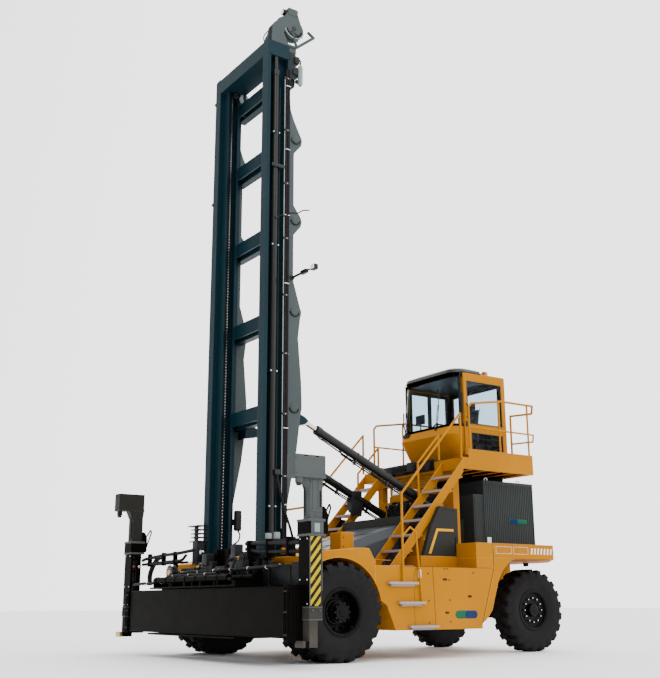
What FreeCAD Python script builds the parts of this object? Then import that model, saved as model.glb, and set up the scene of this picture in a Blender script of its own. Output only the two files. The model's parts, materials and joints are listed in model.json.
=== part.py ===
"""Empty container handler: a port machine with a two-stage mast and a 20/40 ft side spreader.

Working frame, millimetres: X to the machine's left, forward is -Y, Z up from the ground,
Y = 0 at the drive axle. Every node is moved by -ORIGIN_Y when it is written, so that the
written frame has its origin on the ground, midway between the front and rear ends.
"""
import FreeCAD, Part
import math
import os

V = FreeCAD.Vector
X_AXIS = V(1, 0, 0)
Y_AXIS = V(0, 1, 0)
Z_AXIS = V(0, 0, 1)

# ---- driving dimensions -------------------------------------------------------------
GAP = 6.0                      # running clearance between moving pieces

# wheels
TYRE_R = 685.0                 # 14.00-24, out to the lugs' tips
TYRE_W = 375.0
TYRE_FLANK = 170.0             # from the tread to the widest part of the sidewall
LUG_H = 38.0
LUG_PAIRS = 21                 # lugs on each shoulder
BEAD_R = 330.0
RIM_BORE_R = 292.0
RIM_LIP = 12.0
RIM_WALL = 16.0
WHEELBASE = 4530.0
FRONT_OUTER_X = 1879.0         # centre of the outer twin
TWIN_GAP = 55.0
REAR_X = 1170.0
KINGPIN_X = 920.0
NUT_COUNT = 12
NUT_R = 17.0

# drive axle
AXLE_R = 170.0
AXLE_HALF = 1250.0
DIFF_R = 285.0
DIFF_HALF = 260.0
HUB_R = 205.0
HUB_CAP_R = 150.0

# steer axle
BEAM_HALF_DEPTH = 105.0
BEAM_HALF_HEIGHT = 135.0
YOKE_GAP = 150.0               # half the space between the yoke plates
YOKE_T = 42.0
KINGPIN_R = 55.0
SPINDLE_R = 48.0
STEER_R = 62.0                 # steering cylinder
SPINDLE_END = REAR_X + 70.0
KNUCKLE_FACE = KINGPIN_X + 165.0

# body
SIDE_X = 1970.0                # outer face of the fenders and side boxes
BODY_BOTTOM = 420.0
LEDGE_Z = 1345.0
FENDER_Z = 1582.0
DECK_Z = 1735.0
ARCH_R = 752.0
FENDER_IN = 1160.0
FENDER_FRONT = -640.0
FENDER_BACK = 640.0
SIDE_BACK = WHEELBASE - 1880.0 # where the rear deck rises from the ledge
SEAM = ((WHEELBASE - 1810.0, 500.0), (WHEELBASE - 1514.0, LEDGE_Z))    # joint of side body and rear arch
REAR_ARCH = ((-1725.0, 547.0), (-1590.0, 690.0), (-1422.0, 1158.0), (-1318.0, 1315.0),
             (-1143.0, 1455.0))    # rear arch's edge, from the steer axle's centre
TAIL_Y = WHEELBASE + 530.0
TAIL_CHAMFER = 660.0
TAIL_SIDE_Y = TAIL_Y - TAIL_CHAMFER    # rear end of the deck's flanks
TAIL_HALF = 1250.0
TOW_REACH = 120.0
TOW_PLATE = 30.0
TOW_Z = (960.0, 1060.0)        # undersides of the tow jaw's two plates
TOW_R = 26.0                   # bore for a 50 mm drop pin
ARCH_TOP_Z = 1500.0
HOOD_FRONT = 450.0
HOOD_BACK = 2050.0
HOOD_HALF = 850.0
HOOD_NOSE_Z = 1560.0
HOOD_TOP_Z = 2060.0
HOUSING_TOP = 2200.0
BOX_X = (860.0, 1150.0)        # boxes beside the hood
BOX_Y = (600.0, 842.0)
BOX_TOP = 1862.0
BASE_Z = 1530.0                # top of the band under the side covers
COVER_X = 1420.0
COVER_T = 80.0

# frame rails
RAIL_X = 560.0
RAIL_T = 60.0
RAIL_BOTTOM = 450.0
RAIL_TOP = 1330.0
RAIL_BACK = WHEELBASE - 1230.0
RAIL_OUT = RAIL_X + RAIL_T / 2
SPINE_HALF = 280.0
SPINE_BOTTOM = 980.0
SPINE_BACK = TAIL_Y - 160.0
AXLE_SEAT_Z = TYRE_R + AXLE_R + 6.0

# mast
MAST_FRONT = -690.0
MAST_HALF = 927.0
COLUMN_W = 170.0
FLANGE_T = 60.0
WEB_T = 34.0
COLUMN_BACK = -240.0
MAST_FOOT = 400.0
OUTER_TOP = 9855.0
MAST_TOP = 10130.0
BEAM_TOPS = (3910.0, 5430.0, 6930.0, 8400.0)
BEAM_H = 265.0
BEAM_D = 130.0
LOBE_TIP = 27.0                # rear end of the side plate's lobes
WAIST = -132.0                 # rear edge of the side plate between the upper lobes
LOWER_WAIST = (-32.0, 4929.0)
LOBES = ((5371.0, 520.0), (6950.0, 258.0), (8417.0, 339.0))    # height, and taper above it
LOBE_RISE = 270.0              # from the straight edge up to a lobe's middle
PLATE_FOOT = 2126.0
PLATE_TOP = OUTER_TOP - 500.0
LOBE_1_Z = 3790.0              # the lowest lobe, over the tilt cylinders' ears
BOSS_R = 72.0
BOSS_Y = -105.0
SIDE_PLATE_T = 30.0
SIDE_PLATE_X = 872.0
PIVOT_Y = -160.0
PIVOT_Z = 1020.0
PIVOT_R = 40.0
LIFT_STROKE = 8200.0
LIFT_R = 58.0
LIFT_ROD_R = 42.0
LIFT_X = 872.0
LIFT_Y = -500.0
LIFT_FOOT = MAST_FOOT + 60.0

# sheave bracket on the head beam
BRACKET_X = (762.0, 922.0)
SHEAVE_AT = (-165.0, 10510.0)
SHEAVE_R = 200.0
HEAD_TIP = 10885.0

# inner mast
INNER_CLEAR = 12.0
INNER_W = 145.0
INNER_FRONT = -600.0
INNER_BACK = -370.0
INNER_FLANGE_T = 35.0
INNER_WEB_T = 30.0
INNER_FOOT = 450.0

# carriage
CARR_X = 560.0
CARR_BOTTOM = 480.0
CARR_TOP = 1600.0
CARR_BAR_FRONT = -790.0
CARR_BAR_T = 60.0
CARR_BAR_HALF = 850.0
HANGER_OUT = 245.0             # outer edge of the spreader's hangers, on the bar over the whole sideshift
HANGER_W = 120.0

# spreader
SPR_HALF = 2950.0
SPR_FRONT = -1400.0
FRAME_HALF = 1400.0
ARM_BOTTOM = 380.0
ARM_TOP = 1020.0
ARM_D = 190.0
ARM_REACH = 2080.0             # how far an arm reaches past the middle
ARM_STROKE = 3067.0            # 20 ft to 40 ft
TOWER_W = 260.0
TOWER_FRONT = -1168.0
TOWER_BACK = -985.0
TOWER_TOP = 1660.0
TOWER_FOOT = 270.0
SHOE_Z = (600.0, 765.0)        # thicker band round the tower's foot
LEG_W = 170.0                  # leg below the shoe
LEG_D = 120.0
TOE_D = 100.0
POST_X = SPR_HALF - 110.0      # middle of the sliding post
POST_FACE = TOWER_FRONT + 28.0
POST_W = 170.0
POST_D = 190.0                 # it stands out behind the tower, which is open there
POST_TOP = 2400.0
HEAD_TOP = 2700.0
HEAD_W = 180.0
HEAD_LIP = 20.0                # how far the head stands out past the tower's side
COLLAR_H = 210.0
HEAD_STROKE = 305.0            # 8 ft 6 in to 9 ft 6 in boxes
SHIFT_STROKE = 600.0
HOOK_X = SPR_HALF - 23.5       # corner fitting hole of a 20 ft box, half of 5853

# telescope cylinders
PIPE_R = 52.0
PIPE_Y = (-1290.0, -1060.0)

# tilt cylinders
TILT_X = 720.0
TILT_EYE = (190.0, 3620.0)
TILT_PIN = (SIDE_BACK + 300.0, 2335.0)
TILT_R = 70.0
TILT_ROD_R = 42.0
TILT_PIN_R = 32.0
TILT_EYE_R = 72.0
TILT_EYE_W = 60.0
TILT_EYE_PLAY = 8.0            # the rod's eye drifts from its pin by under 4 mm over the tilt
TILT_BARREL_REACH = 260.0      # from the rod's eye to the barrel's mouth
GANTRY_FRONT = TILT_PIN[0] + TILT_EYE_R + 8.0
GANTRY_BACK = GANTRY_FRONT + 130.0

# battery, platform, cab, stairs
BATTERY_HALF = 1080.0
BATTERY_FRONT = SIDE_BACK + 1050.0
BATTERY_BACK = TAIL_Y - 160.0
BATTERY_TOP = 2880.0
LOCKER_FRONT = BATTERY_FRONT - 240.0   # lower cabinet before the battery
LOCKER_TOP = 2625.0
PLAT_X = 1380.0
PLAT_FRONT = SIDE_BACK + 310.0
PLAT_BACK = PLAT_FRONT + 1695.0
PLAT_BOTTOM = 3000.0
PLAT_TOP = PLAT_BOTTOM + 190.0
PLAT_PLATE = 50.0
TOE_H = 155.0                  # toe board's height above the platform
TOE_T = 8.0
RAIL_Z = 4262.0
RAIL_MID_Z = 3730.0
LOOP_OUT = 95.0                # how far the rails loop out behind the platform
CAB_HALF = 780.0
CAB_WALL = 45.0
CAB_UNDER = PLAT_TOP + 90.0    # the cab stands on pads
CAB_FLOOR = CAB_UNDER + 60.0
CAB_BACK = PLAT_BACK - TOE_T - 7.0
CAB_ROOF = CAB_FLOOR + 1530.0
CAB_SILL = CAB_FLOOR + 550.0   # foot of the windscreen
NOSE_Z = CAB_UNDER + 445.0
CAB_CORNER = 230.0             # radius of the cab's front corners
# front of the cab at rising heights: (y, z)
CAB_FRONT = ((PLAT_FRONT + 600.0, CAB_UNDER), (PLAT_FRONT + 320.0, NOSE_Z), (PLAT_FRONT + 400.0, CAB_SILL),
             (PLAT_FRONT + 490.0, CAB_ROOF))
POST_FRONT = PLAT_FRONT + 590.0        # front edge of the doorway's post
DOOR_FRONT = PLAT_FRONT + 640.0
DOOR_BACK = PLAT_FRONT + 1600.0
DOOR_T = 34.0
GLASS_T = 8.0
CAP_H = 120.0
CAP_BACK = PLAT_FRONT + 1086.0
STAIR_OUT = 1400.0
STAIR_IN = 850.0
STEP_Z = (1107.0, 823.0, 481.0)
STAIR_FOOT = (SIDE_BACK - 1030.0, 1550.0)
STAIR_HEAD = (PLAT_FRONT + 15.0, PLAT_BOTTOM + 60.0)
STRINGER_T = 22.0
TUBE_R = 19.0
BRANCH_R = 15.0                # a rail that ends on the side of another

FRONT_REACH = SPR_FRONT - 5.0
ORIGIN_Y = (FRONT_REACH + TAIL_Y + TOW_REACH) / 2.0


# ---- helpers ------------------------------------------------------------------------
def box(x0, x1, y0, y1, z0, z1):
    return Part.makeBox(x1 - x0, y1 - y0, z1 - z0, V(x0, y0, z0))


def bar(start, axis, radius, length):
    """A round bar from a point along an axis."""
    return Part.makeCylinder(radius, length, V(*start), axis)


def ring(start, axis, outer, inner, length):
    return bar(start, axis, outer, length).cut(bar(start, axis, inner, length))


def plate_x(points, x0, x1):
    """A plate across X whose outline is given as (y, z) points."""
    wire = Part.makePolygon([V(x0, y, z) for y, z in points] + [V(x0, *points[0])])
    return Part.Face(wire).extrude(V(x1 - x0, 0, 0))


def plate_z(points, z0, z1):
    wire = Part.makePolygon([V(x, y, z0) for x, y in points] + [V(*points[0], z0)])
    return Part.Face(wire).extrude(V(0, 0, z1 - z0))


def mirrored(shape):
    return shape.mirror(V(0, 0, 0), X_AXIS)


def fuse(shapes):
    whole = shapes[0]
    if len(shapes) > 1:
        whole = whole.multiFuse(shapes[1:])
    return whole.removeSplitter()


def both(shape):
    """The piece and its mirror image, as separate solids of one node."""
    return Part.makeCompound([shape, mirrored(shape)])


def tube(points, radius=TUBE_R):
    """A welded tube frame member: straight runs with ball joints at the corners."""
    runs = []
    for a, b in zip(points, points[1:]):
        start = V(*a)
        run = V(*b).sub(start)
        runs.append(Part.makeCylinder(radius, run.Length, start, run))
    for p in points[1:-1]:
        runs.append(Part.makeSphere(radius, V(*p)))
    return fuse(runs)


def export(name, shape):
    placed = shape.copy()
    placed.translate(V(0, -ORIGIN_Y, 0))
    placed.exportStep("parts/" + name + ".step")


# ---- wheels -------------------------------------------------------------------------
def tyre(x_mid, y, z):
    """A lugged tyre about the X axis: flat facets, with a lug on the left and right shoulder in turn."""
    half = TYRE_W / 2.0
    base = TYRE_R - LUG_H
    bead = (BEAD_R, 0.72 * half)
    wide = (TYRE_R - TYRE_FLANK, half)
    shoulder = (base, 0.95 * half)
    lug = [shoulder, (TYRE_R, 0.86 * half), (TYRE_R, 0.04 * half), (base, 0.0)]

    def mirror(points):
        return [(r, -x) for r, x in points]

    bare = [bead, wide, shoulder]
    profiles = []
    for side in (bare + lug[1:], mirror(bare + lug[1:])):
        other = mirror(bare) if side[0][1] > 0 else bare
        profiles.append(side + other[::-1])
    count = 2 * LUG_PAIRS
    step = 2 * math.pi / count
    scale = 1.0 / math.cos(step / 2.0)

    def spot(i, point):
        a = (i - 0.5) * step - math.pi / 2.0
        r = point[0] * scale
        return V(x_mid + point[1], y + r * math.cos(a), z + r * math.sin(a))

    faces = []
    for i in range(count):
        outline = profiles[i % 2]
        for a, b in zip(outline, outline[1:] + outline[:1]):
            faces.append([spot(i, a), spot(i, b), spot(i + 1, b), spot(i + 1, a)])
        for end in (lug, mirror(lug)):
            faces.append([spot(i, p) for p in end])
    shell = Part.makeShell([Part.Face(Part.makePolygon(f + f[:1])) for f in faces])
    shell.sewShape()
    return Part.makeSolid(shell)


def rim(x_mid, y, z, disc_x):
    """A rim barrel that fills the bead, with a lip at each end and its disc at disc_x."""
    half = TYRE_W * 0.36
    barrel = ring((x_mid - half, y, z), X_AXIS, BEAD_R, RIM_BORE_R, 2 * half)
    parts = [bar((disc_x - RIM_WALL / 2, y, z), X_AXIS, RIM_BORE_R + 5, RIM_WALL)]
    for x in (x_mid - half - RIM_LIP, x_mid + half):
        parts.append(ring((x, y, z), X_AXIS, BEAD_R - 2, RIM_BORE_R + 8, RIM_LIP))
    return barrel.multiFuse(parts)


def nut_ring(x, y, z, circle_r):
    nuts = []
    for i in range(NUT_COUNT):
        a = 2 * math.pi * i / NUT_COUNT
        spot = (x, y + circle_r * math.cos(a), z + circle_r * math.sin(a))
        nuts.append(bar(spot, X_AXIS, NUT_R, 30))
    return nuts


def front_wheel():
    """Left twin wheels on one hub: tyres and rims as two nodes."""
    inner_x = FRONT_OUTER_X - TYRE_W - TWIN_GAP
    y, z = 0.0, TYRE_R
    tyres = Part.makeCompound([tyre(FRONT_OUTER_X, y, z), tyre(inner_x, y, z)])
    outer_disc = FRONT_OUTER_X - 60.0
    parts = [rim(FRONT_OUTER_X, y, z, outer_disc), rim(inner_x, y, z, inner_x + 60.0)]
    hub_start = AXLE_HALF + GAP
    hub_end = FRONT_OUTER_X + 70.0
    parts.append(bar((hub_start, y, z), X_AXIS, HUB_R, outer_disc - hub_start + 20))
    parts.append(bar((outer_disc, y, z), X_AXIS, HUB_CAP_R, hub_end - outer_disc))
    parts += nut_ring(outer_disc + RIM_WALL / 2, y, z, 235.0)
    return tyres, fuse(parts)


def rear_wheel():
    y, z = WHEELBASE, TYRE_R
    disc_x = REAR_X + 95.0
    parts = [rim(REAR_X, y, z, disc_x)]
    parts.append(bar((disc_x, y, z), X_AXIS, 105.0, 70))
    parts += nut_ring(disc_x + RIM_WALL / 2, y, z, 200.0)
    hub_x = KNUCKLE_FACE + GAP
    parts.append(bar((hub_x, y, z), X_AXIS, 150.0, disc_x - hub_x))
    bore = bar((hub_x, y, z), X_AXIS, SPINDLE_R + 0.5, SPINDLE_END + GAP - hub_x)
    return tyre(REAR_X, y, z), fuse(parts).cut(bore)


# ---- axles --------------------------------------------------------------------------
def drive_axle():
    """Axle housing with the differential, and the lugs that carry the mast's foot."""
    z = TYRE_R
    parts = [bar((-AXLE_HALF, 0, z), X_AXIS, AXLE_R, 2 * AXLE_HALF)]
    parts.append(bar((-DIFF_HALF, 0, z), X_AXIS, DIFF_R, 2 * DIFF_HALF))
    for x in (SIDE_PLATE_X - 75.0, SIDE_PLATE_X + 45.0):
        lug = plate_x([(-60, z + 100), (PIVOT_Y - 70, PIVOT_Z - 30), (PIVOT_Y - 40, PIVOT_Z + 70),
                       (PIVOT_Y + 50, PIVOT_Z + 75), (120, z + 100)], x, x + 30.0)
        parts += [lug, mirrored(lug)]
    pin = bar((SIDE_PLATE_X - 75.0, PIVOT_Y, PIVOT_Z), X_AXIS, PIVOT_R, 150.0)
    parts += [pin, mirrored(pin)]
    seat = box(RAIL_X - RAIL_T / 2, RAIL_OUT, -90, 90, z + 100, AXLE_SEAT_Z)
    parts += [seat, mirrored(seat)]
    return fuse(parts)


def steer_axle():
    """Rigid beam with a yoke at each end and a saddle under the frame's spine."""
    y, z = WHEELBASE, TYRE_R
    end = KINGPIN_X - 110.0
    parts = [box(-end, end, y - BEAM_HALF_DEPTH, y + BEAM_HALF_DEPTH,
                 z - BEAM_HALF_HEIGHT, z + BEAM_HALF_HEIGHT)]
    parts.append(box(-SPINE_HALF + 60, SPINE_HALF - 60, y - 150, y + 150, z + BEAM_HALF_HEIGHT, SPINE_BOTTOM))
    for side in (-1, 1):
        x0, x1 = sorted((side * (end - 60), side * (KINGPIN_X + 62)))
        for z0 in (z + YOKE_GAP, z - YOKE_GAP - YOKE_T):
            parts.append(box(x0, x1, y - 75, y + 75, z0, z0 + YOKE_T))
        w0, w1 = sorted((side * (end - 60), side * end))
        parts.append(box(w0, w1, y - 75, y + 75, z - YOKE_GAP - YOKE_T, z + YOKE_GAP + YOKE_T))
    cylinder_y = y + BEAM_HALF_DEPTH + STEER_R
    parts.append(bar((-380, cylinder_y, z), X_AXIS, STEER_R, 760))
    parts.append(bar((-end + 60, cylinder_y, z), X_AXIS, 32, 2 * end - 120))
    for x in (-350, 290):
        parts.append(box(x, x + 60, y + BEAM_HALF_DEPTH - 1, cylinder_y, z - STEER_R - 12, z + STEER_R + 12))
    return fuse(parts)


def knuckle():
    """Left knuckle: kingpin barrel, spindle and hub flange."""
    y, z = WHEELBASE, TYRE_R
    parts = [bar((KINGPIN_X, y, z - YOKE_GAP + GAP), Z_AXIS, KINGPIN_R + 15, 2 * (YOKE_GAP - GAP))]
    parts.append(bar((KINGPIN_X, y, z), X_AXIS, SPINDLE_R, SPINDLE_END - KINGPIN_X))
    parts.append(bar((KNUCKLE_FACE - 50.0, y, z), X_AXIS, 125.0, 50.0))
    return fuse(parts)


# ---- frame and body -----------------------------------------------------------------
def chassis_frame():
    """Two deep rails behind the drive axle, cross plates, and a narrow spine over the steer axle."""
    outline = [(-90, AXLE_SEAT_Z), (210, AXLE_SEAT_Z), (210, RAIL_BOTTOM), (RAIL_BACK - 400, RAIL_BOTTOM),
               (RAIL_BACK, 760), (RAIL_BACK, RAIL_TOP), (-90, RAIL_TOP)]
    rail = plate_x(outline, RAIL_X - RAIL_T / 2, RAIL_OUT)
    inner = RAIL_X - RAIL_T / 2
    parts = [rail, mirrored(rail)]
    for y in (330.0, 1250.0, 2250.0, RAIL_BACK - 40.0):
        parts.append(box(-inner, inner, y, y + 40, 780, RAIL_TOP))
    parts.append(box(-inner, inner, 330, 2700, RAIL_BOTTOM, RAIL_BOTTOM + 30))
    parts.append(box(-SPINE_HALF, SPINE_HALF, RAIL_BACK, SPINE_BACK, SPINE_BOTTOM, ARCH_TOP_Z))
    return fuse(parts)


def wheel_cut():
    """Space above and around the front wheels, as a cutting solid."""
    return bar((0, 0, TYRE_R), X_AXIS, ARCH_R, 3000)


def front_fender():
    outline = [(FENDER_FRONT, 1000), (FENDER_FRONT, 1450), (-325, 1523), (307, FENDER_Z), (524, FENDER_Z + 5),
               (600, 1450), (FENDER_BACK, 1420), (FENDER_BACK, 1000)]
    body = plate_x(outline, FENDER_IN, SIDE_X)
    return body.cut(wheel_cut())


def side_body():
    """Left side box between the wheels, with the ledge on top and the rear arch's front edge."""
    outline = [(FENDER_BACK, LEDGE_Z), (FENDER_BACK, 900), (839, 781), (1000, BODY_BOTTOM),
               (SEAM[0][0], BODY_BOTTOM), SEAM[0], SEAM[1]]
    body = plate_x(outline, RAIL_OUT, SIDE_X).cut(wheel_cut())
    y = SIDE_BACK
    base = box(1000, COVER_X + COVER_T, y - 750, y, LEDGE_Z, BASE_Z)
    under = plate_x([(y - 600, BASE_Z), (y, BASE_Z), (y, 2250), (y - 320, 2100), (y - 600, 1800)],
                    1000, COVER_X)
    return fuse([body, base, under])


def rear_deck():
    """Slab over the steered wheels, chamfered at the tail."""
    plan = [(SIDE_X, SIDE_BACK), (SIDE_X, TAIL_SIDE_Y), (TAIL_HALF, TAIL_Y), (-TAIL_HALF, TAIL_Y),
            (-SIDE_X, TAIL_SIDE_Y), (-SIDE_X, SIDE_BACK)]
    return plate_z(plan, ARCH_TOP_Z, DECK_Z)


def rear_arch():
    """Left flank under the deck's front end, with the edge of the rear wheel's arch."""
    edge = [(WHEELBASE + y, z) for y, z in REAR_ARCH]
    edge.append((WHEELBASE - 1030.0, ARCH_TOP_Z))
    outline = [(SIDE_BACK, LEDGE_Z), SEAM[1], SEAM[0]] + edge + [(SIDE_BACK, ARCH_TOP_Z)]
    return plate_x(outline, RAIL_OUT, SIDE_X)


def counterweight():
    """Heavy tail block behind the spine, with the jaw and bore for a tow pin."""
    tail = box(-SPINE_HALF, SPINE_HALF, SPINE_BACK, TAIL_Y, TOW_Z[0] - 60.0, ARCH_TOP_Z)
    jaws = [box(-70, 70, TAIL_Y, TAIL_Y + TOW_REACH, z, z + TOW_PLATE) for z in TOW_Z]
    hole = bar((0, TAIL_Y + TOW_REACH - 60, TOW_Z[0] - 1), Z_AXIS, TOW_R, TOW_Z[1] + TOW_PLATE + 2 - TOW_Z[0])
    return fuse([tail] + jaws).cut(hole)


def hood():
    """Sloping bonnet, its long edges bevelled down to the sides."""
    body = plate_x([(HOOD_FRONT, LEDGE_Z), (HOOD_FRONT, HOOD_NOSE_Z), (HOOD_BACK, HOOD_TOP_Z),
                    (HOOD_BACK, LEDGE_Z)], -HOOD_HALF, HOOD_HALF)
    bevel = 130.0
    for side in (-1, 1):
        edge = [V(side * (HOOD_HALF + 1), HOOD_FRONT - 1, HOOD_NOSE_Z - bevel),
                V(side * (HOOD_HALF + 1), HOOD_FRONT - 1, HOOD_NOSE_Z + bevel),
                V(side * (HOOD_HALF - bevel), HOOD_FRONT - 1, HOOD_NOSE_Z + bevel / 12)]
        slope = V(0, HOOD_BACK - HOOD_FRONT + 2, HOOD_TOP_Z - HOOD_NOSE_Z)
        body = body.cut(Part.Face(Part.makePolygon(edge + edge[:1])).extrude(slope))
    return body


def side_box():
    """Left box on the ledge beside the bonnet."""
    return box(*BOX_X, *BOX_Y, LEDGE_Z, BOX_TOP)


def housing():
    """Dark cabinet between the hood and the battery."""
    half = STAIR_IN - 10
    front = box(-half, half, HOOD_BACK, SIDE_BACK, LEDGE_Z, HOUSING_TOP)
    return fuse([front, box(-half, half, SIDE_BACK, LOCKER_FRONT - 20, DECK_Z, HOUSING_TOP)])


def side_cover():
    """Left leaning cover in front of the rear deck."""
    y = SIDE_BACK
    return plate_x([(y - 687, BASE_Z), (y - 524, 1983), (y - 319, 2327), (y + 50, 2300), (y + 50, DECK_Z),
                    (y, DECK_Z), (y, BASE_Z)], COVER_X, COVER_X + COVER_T)


def battery():
    """Main battery cabinet and the lower locker in front of it."""
    main_box = box(-BATTERY_HALF, BATTERY_HALF, BATTERY_FRONT, BATTERY_BACK, DECK_Z, BATTERY_TOP)
    locker = box(-BATTERY_HALF, BATTERY_HALF, LOCKER_FRONT, BATTERY_FRONT - 10, DECK_Z, LOCKER_TOP)
    return Part.makeCompound([main_box, locker])


def gantry():
    """Two posts and a cross beam, with the lugs that carry the tilt cylinders' rear pins."""
    y0, y1 = GANTRY_FRONT, GANTRY_BACK
    py, pz = TILT_PIN
    under_plate = PLAT_TOP - PLAT_PLATE
    parts = [box(-1050, 1050, y0, y1, 2230, 2600), box(-1050, 1050, y0, y1, BATTERY_TOP, under_plate)]
    for x in (-1050.0, 920.0):
        parts.append(box(x, x + 130, y0, y1, DECK_Z, under_plate))
    for x in (TILT_X - 75.0, TILT_X + 45.0):
        lug = plate_x([(y0 + 10, pz - 100), (py - 20, pz - 90), (py - 70, pz), (py - 20, pz + 90),
                       (y0 + 10, pz + 140)], x, x + 30)
        parts += [lug, mirrored(lug)]
    pin = bar((TILT_X - 60, py, pz), X_AXIS, TILT_PIN_R, 120)
    parts += [pin, mirrored(pin)]
    return fuse(parts)


# ---- platform, stairs, cab ----------------------------------------------------------
def platform():
    """Walkway deck with its edge beams, and the toe boards along both sides and the rear."""
    plate = box(-PLAT_X, PLAT_X, PLAT_FRONT, PLAT_BACK, PLAT_TOP - PLAT_PLATE, PLAT_TOP)
    beams = box(-PLAT_X, PLAT_X, PLAT_FRONT, PLAT_BACK, PLAT_BOTTOM, PLAT_TOP)
    beams = beams.cut(box(-PLAT_X + 60, PLAT_X - 60, PLAT_FRONT + 60, PLAT_BACK - 60, 0, PLAT_TOP))
    top = PLAT_TOP + TOE_H
    parts = [plate, beams]
    for x in (-PLAT_X, PLAT_X - TOE_T):
        parts.append(box(x, x + TOE_T, PLAT_FRONT + 160, PLAT_BACK, PLAT_TOP, top))
    parts.append(box(-PLAT_X, PLAT_X, PLAT_BACK - TOE_T, PLAT_BACK, PLAT_TOP, top))
    return fuse(parts)


def cab_mounts():
    """Beams that carry the platform from the gantry back over the battery, and the pads under the cab."""
    parts = []
    for x in (-700.0, 600.0):
        parts.append(box(x, x + 100, GANTRY_BACK, PLAT_BACK - 90, BATTERY_TOP, PLAT_TOP - PLAT_PLATE))
    for x in (-640.0, 440.0):
        for y in (PLAT_FRONT + 660, PLAT_FRONT + 1440):
            parts.append(box(x, x + 200, y, y + 200, PLAT_TOP, CAB_UNDER))
    return Part.makeCompound(parts)


def cab_plan(y_front, z, inset=0.0, half=CAB_HALF, back=CAB_BACK, radius=CAB_CORNER):
    """Outline of the cab seen from above: a rectangle with its front corners rounded."""
    half -= inset
    front = y_front + inset
    back -= inset
    r = radius - inset
    edges = []
    turn = r * (1 - math.sqrt(0.5))
    a, b, c = V(-half, front + r, z), V(-half + turn, front + turn, z), V(-half + r, front, z)
    d, e, f = V(half - r, front, z), V(half - turn, front + turn, z), V(half, front + r, z)
    edges.append(Part.LineSegment(V(-half, back, z), a))
    edges.append(Part.Arc(a, b, c))
    edges.append(Part.LineSegment(c, d))
    edges.append(Part.Arc(d, e, f))
    edges.append(Part.LineSegment(f, V(half, back, z)))
    edges.append(Part.LineSegment(V(half, back, z), V(-half, back, z)))
    return Part.Wire([e.toShape() for e in edges])


def cab_body(inset, bottom, top):
    """Solid between the cab's stations, inset from its outer skin."""
    levels = [(y, min(max(z, bottom), top)) for y, z in CAB_FRONT]
    parts = []
    for (y0, z0), (y1, z1) in zip(levels, levels[1:]):
        wires = [cab_plan(y0, z0, inset), cab_plan(y1, z1, inset)]
        parts.append(Part.makeLoft(wires, True, True))
    return fuse(parts)


def screen_space():
    """Space of the wrap-around windscreen, in front of both door posts."""
    return box(-CAB_HALF - 50, CAB_HALF + 50, PLAT_FRONT, POST_FRONT, CAB_SILL + 14, CAB_ROOF - 60)


def side_window():
    return plate_x([(DOOR_FRONT + 40, CAB_FLOOR + 560), (DOOR_FRONT + 60, CAB_ROOF - 150),
                    (CAB_BACK - 110, CAB_ROOF - 150), (CAB_BACK - 110, CAB_FLOOR + 560)],
                   -CAB_HALF - 10, -CAB_HALF + CAB_WALL + 10)


def back_window():
    return box(-CAB_HALF + 150, CAB_HALF - 150, CAB_BACK - CAB_WALL - 10, CAB_BACK + 10,
               CAB_FLOOR + 600, CAB_ROOF - 160)


def floor_space():
    return box(-CAB_HALF - 50, CAB_HALF + 50, PLAT_FRONT, PLAT_BACK, CAB_UNDER - 10, CAB_FLOOR)


def cab_floor():
    """Floor pan across the whole cab."""
    return cab_body(0.0, CAB_UNDER, CAB_ROOF).common(floor_space())


def cab_shell():
    """Cab above its floor, with windscreen, side and rear windows cut, and the left doorway open."""
    shell = cab_body(0.0, CAB_UNDER, CAB_ROOF).cut(cab_body(CAB_WALL, CAB_FLOOR, CAB_ROOF - CAB_WALL))
    doorway = box(CAB_HALF - CAB_WALL - 10, CAB_HALF + 10, DOOR_FRONT + 20, DOOR_BACK - 20,
                  CAB_FLOOR, CAB_ROOF - 70)
    return shell.cut(Part.makeCompound([floor_space(), screen_space(), side_window(), doorway, back_window()]))


def cab_glass():
    """Windscreen, right window and rear window."""
    inset = 12.0
    skin = cab_body(inset, CAB_UNDER, CAB_ROOF).cut(cab_body(inset + GLASS_T, CAB_UNDER - 1, CAB_ROOF + 1))
    screen = skin.common(screen_space())
    side = side_window().common(box(-CAB_HALF + inset, -CAB_HALF + inset + GLASS_T, 0, CAB_BACK, 0, CAB_ROOF))
    back = back_window().common(box(-CAB_HALF, CAB_HALF, CAB_BACK - inset - GLASS_T, CAB_BACK - inset,
                                    0, CAB_ROOF))
    return Part.makeCompound([screen, side, back])


def cab_roof():
    """Rounded cap over the front of the roof."""
    front = CAB_FRONT[3][0]
    low = cab_plan(front - 40, CAB_ROOF, 0.0, CAB_HALF + 8, CAP_BACK, CAB_CORNER + 30)
    mid = cab_plan(front - 20, CAB_ROOF + CAP_H / 2, 0.0, CAB_HALF - 10, CAP_BACK - 25, CAB_CORNER + 10)
    top = cab_plan(front + 110, CAB_ROOF + CAP_H, 0.0, CAB_HALF - 150, CAP_BACK - 130, CAB_CORNER)
    return fuse([Part.makeLoft([low, mid], True, True), Part.makeLoft([mid, top], True, True)])


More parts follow.
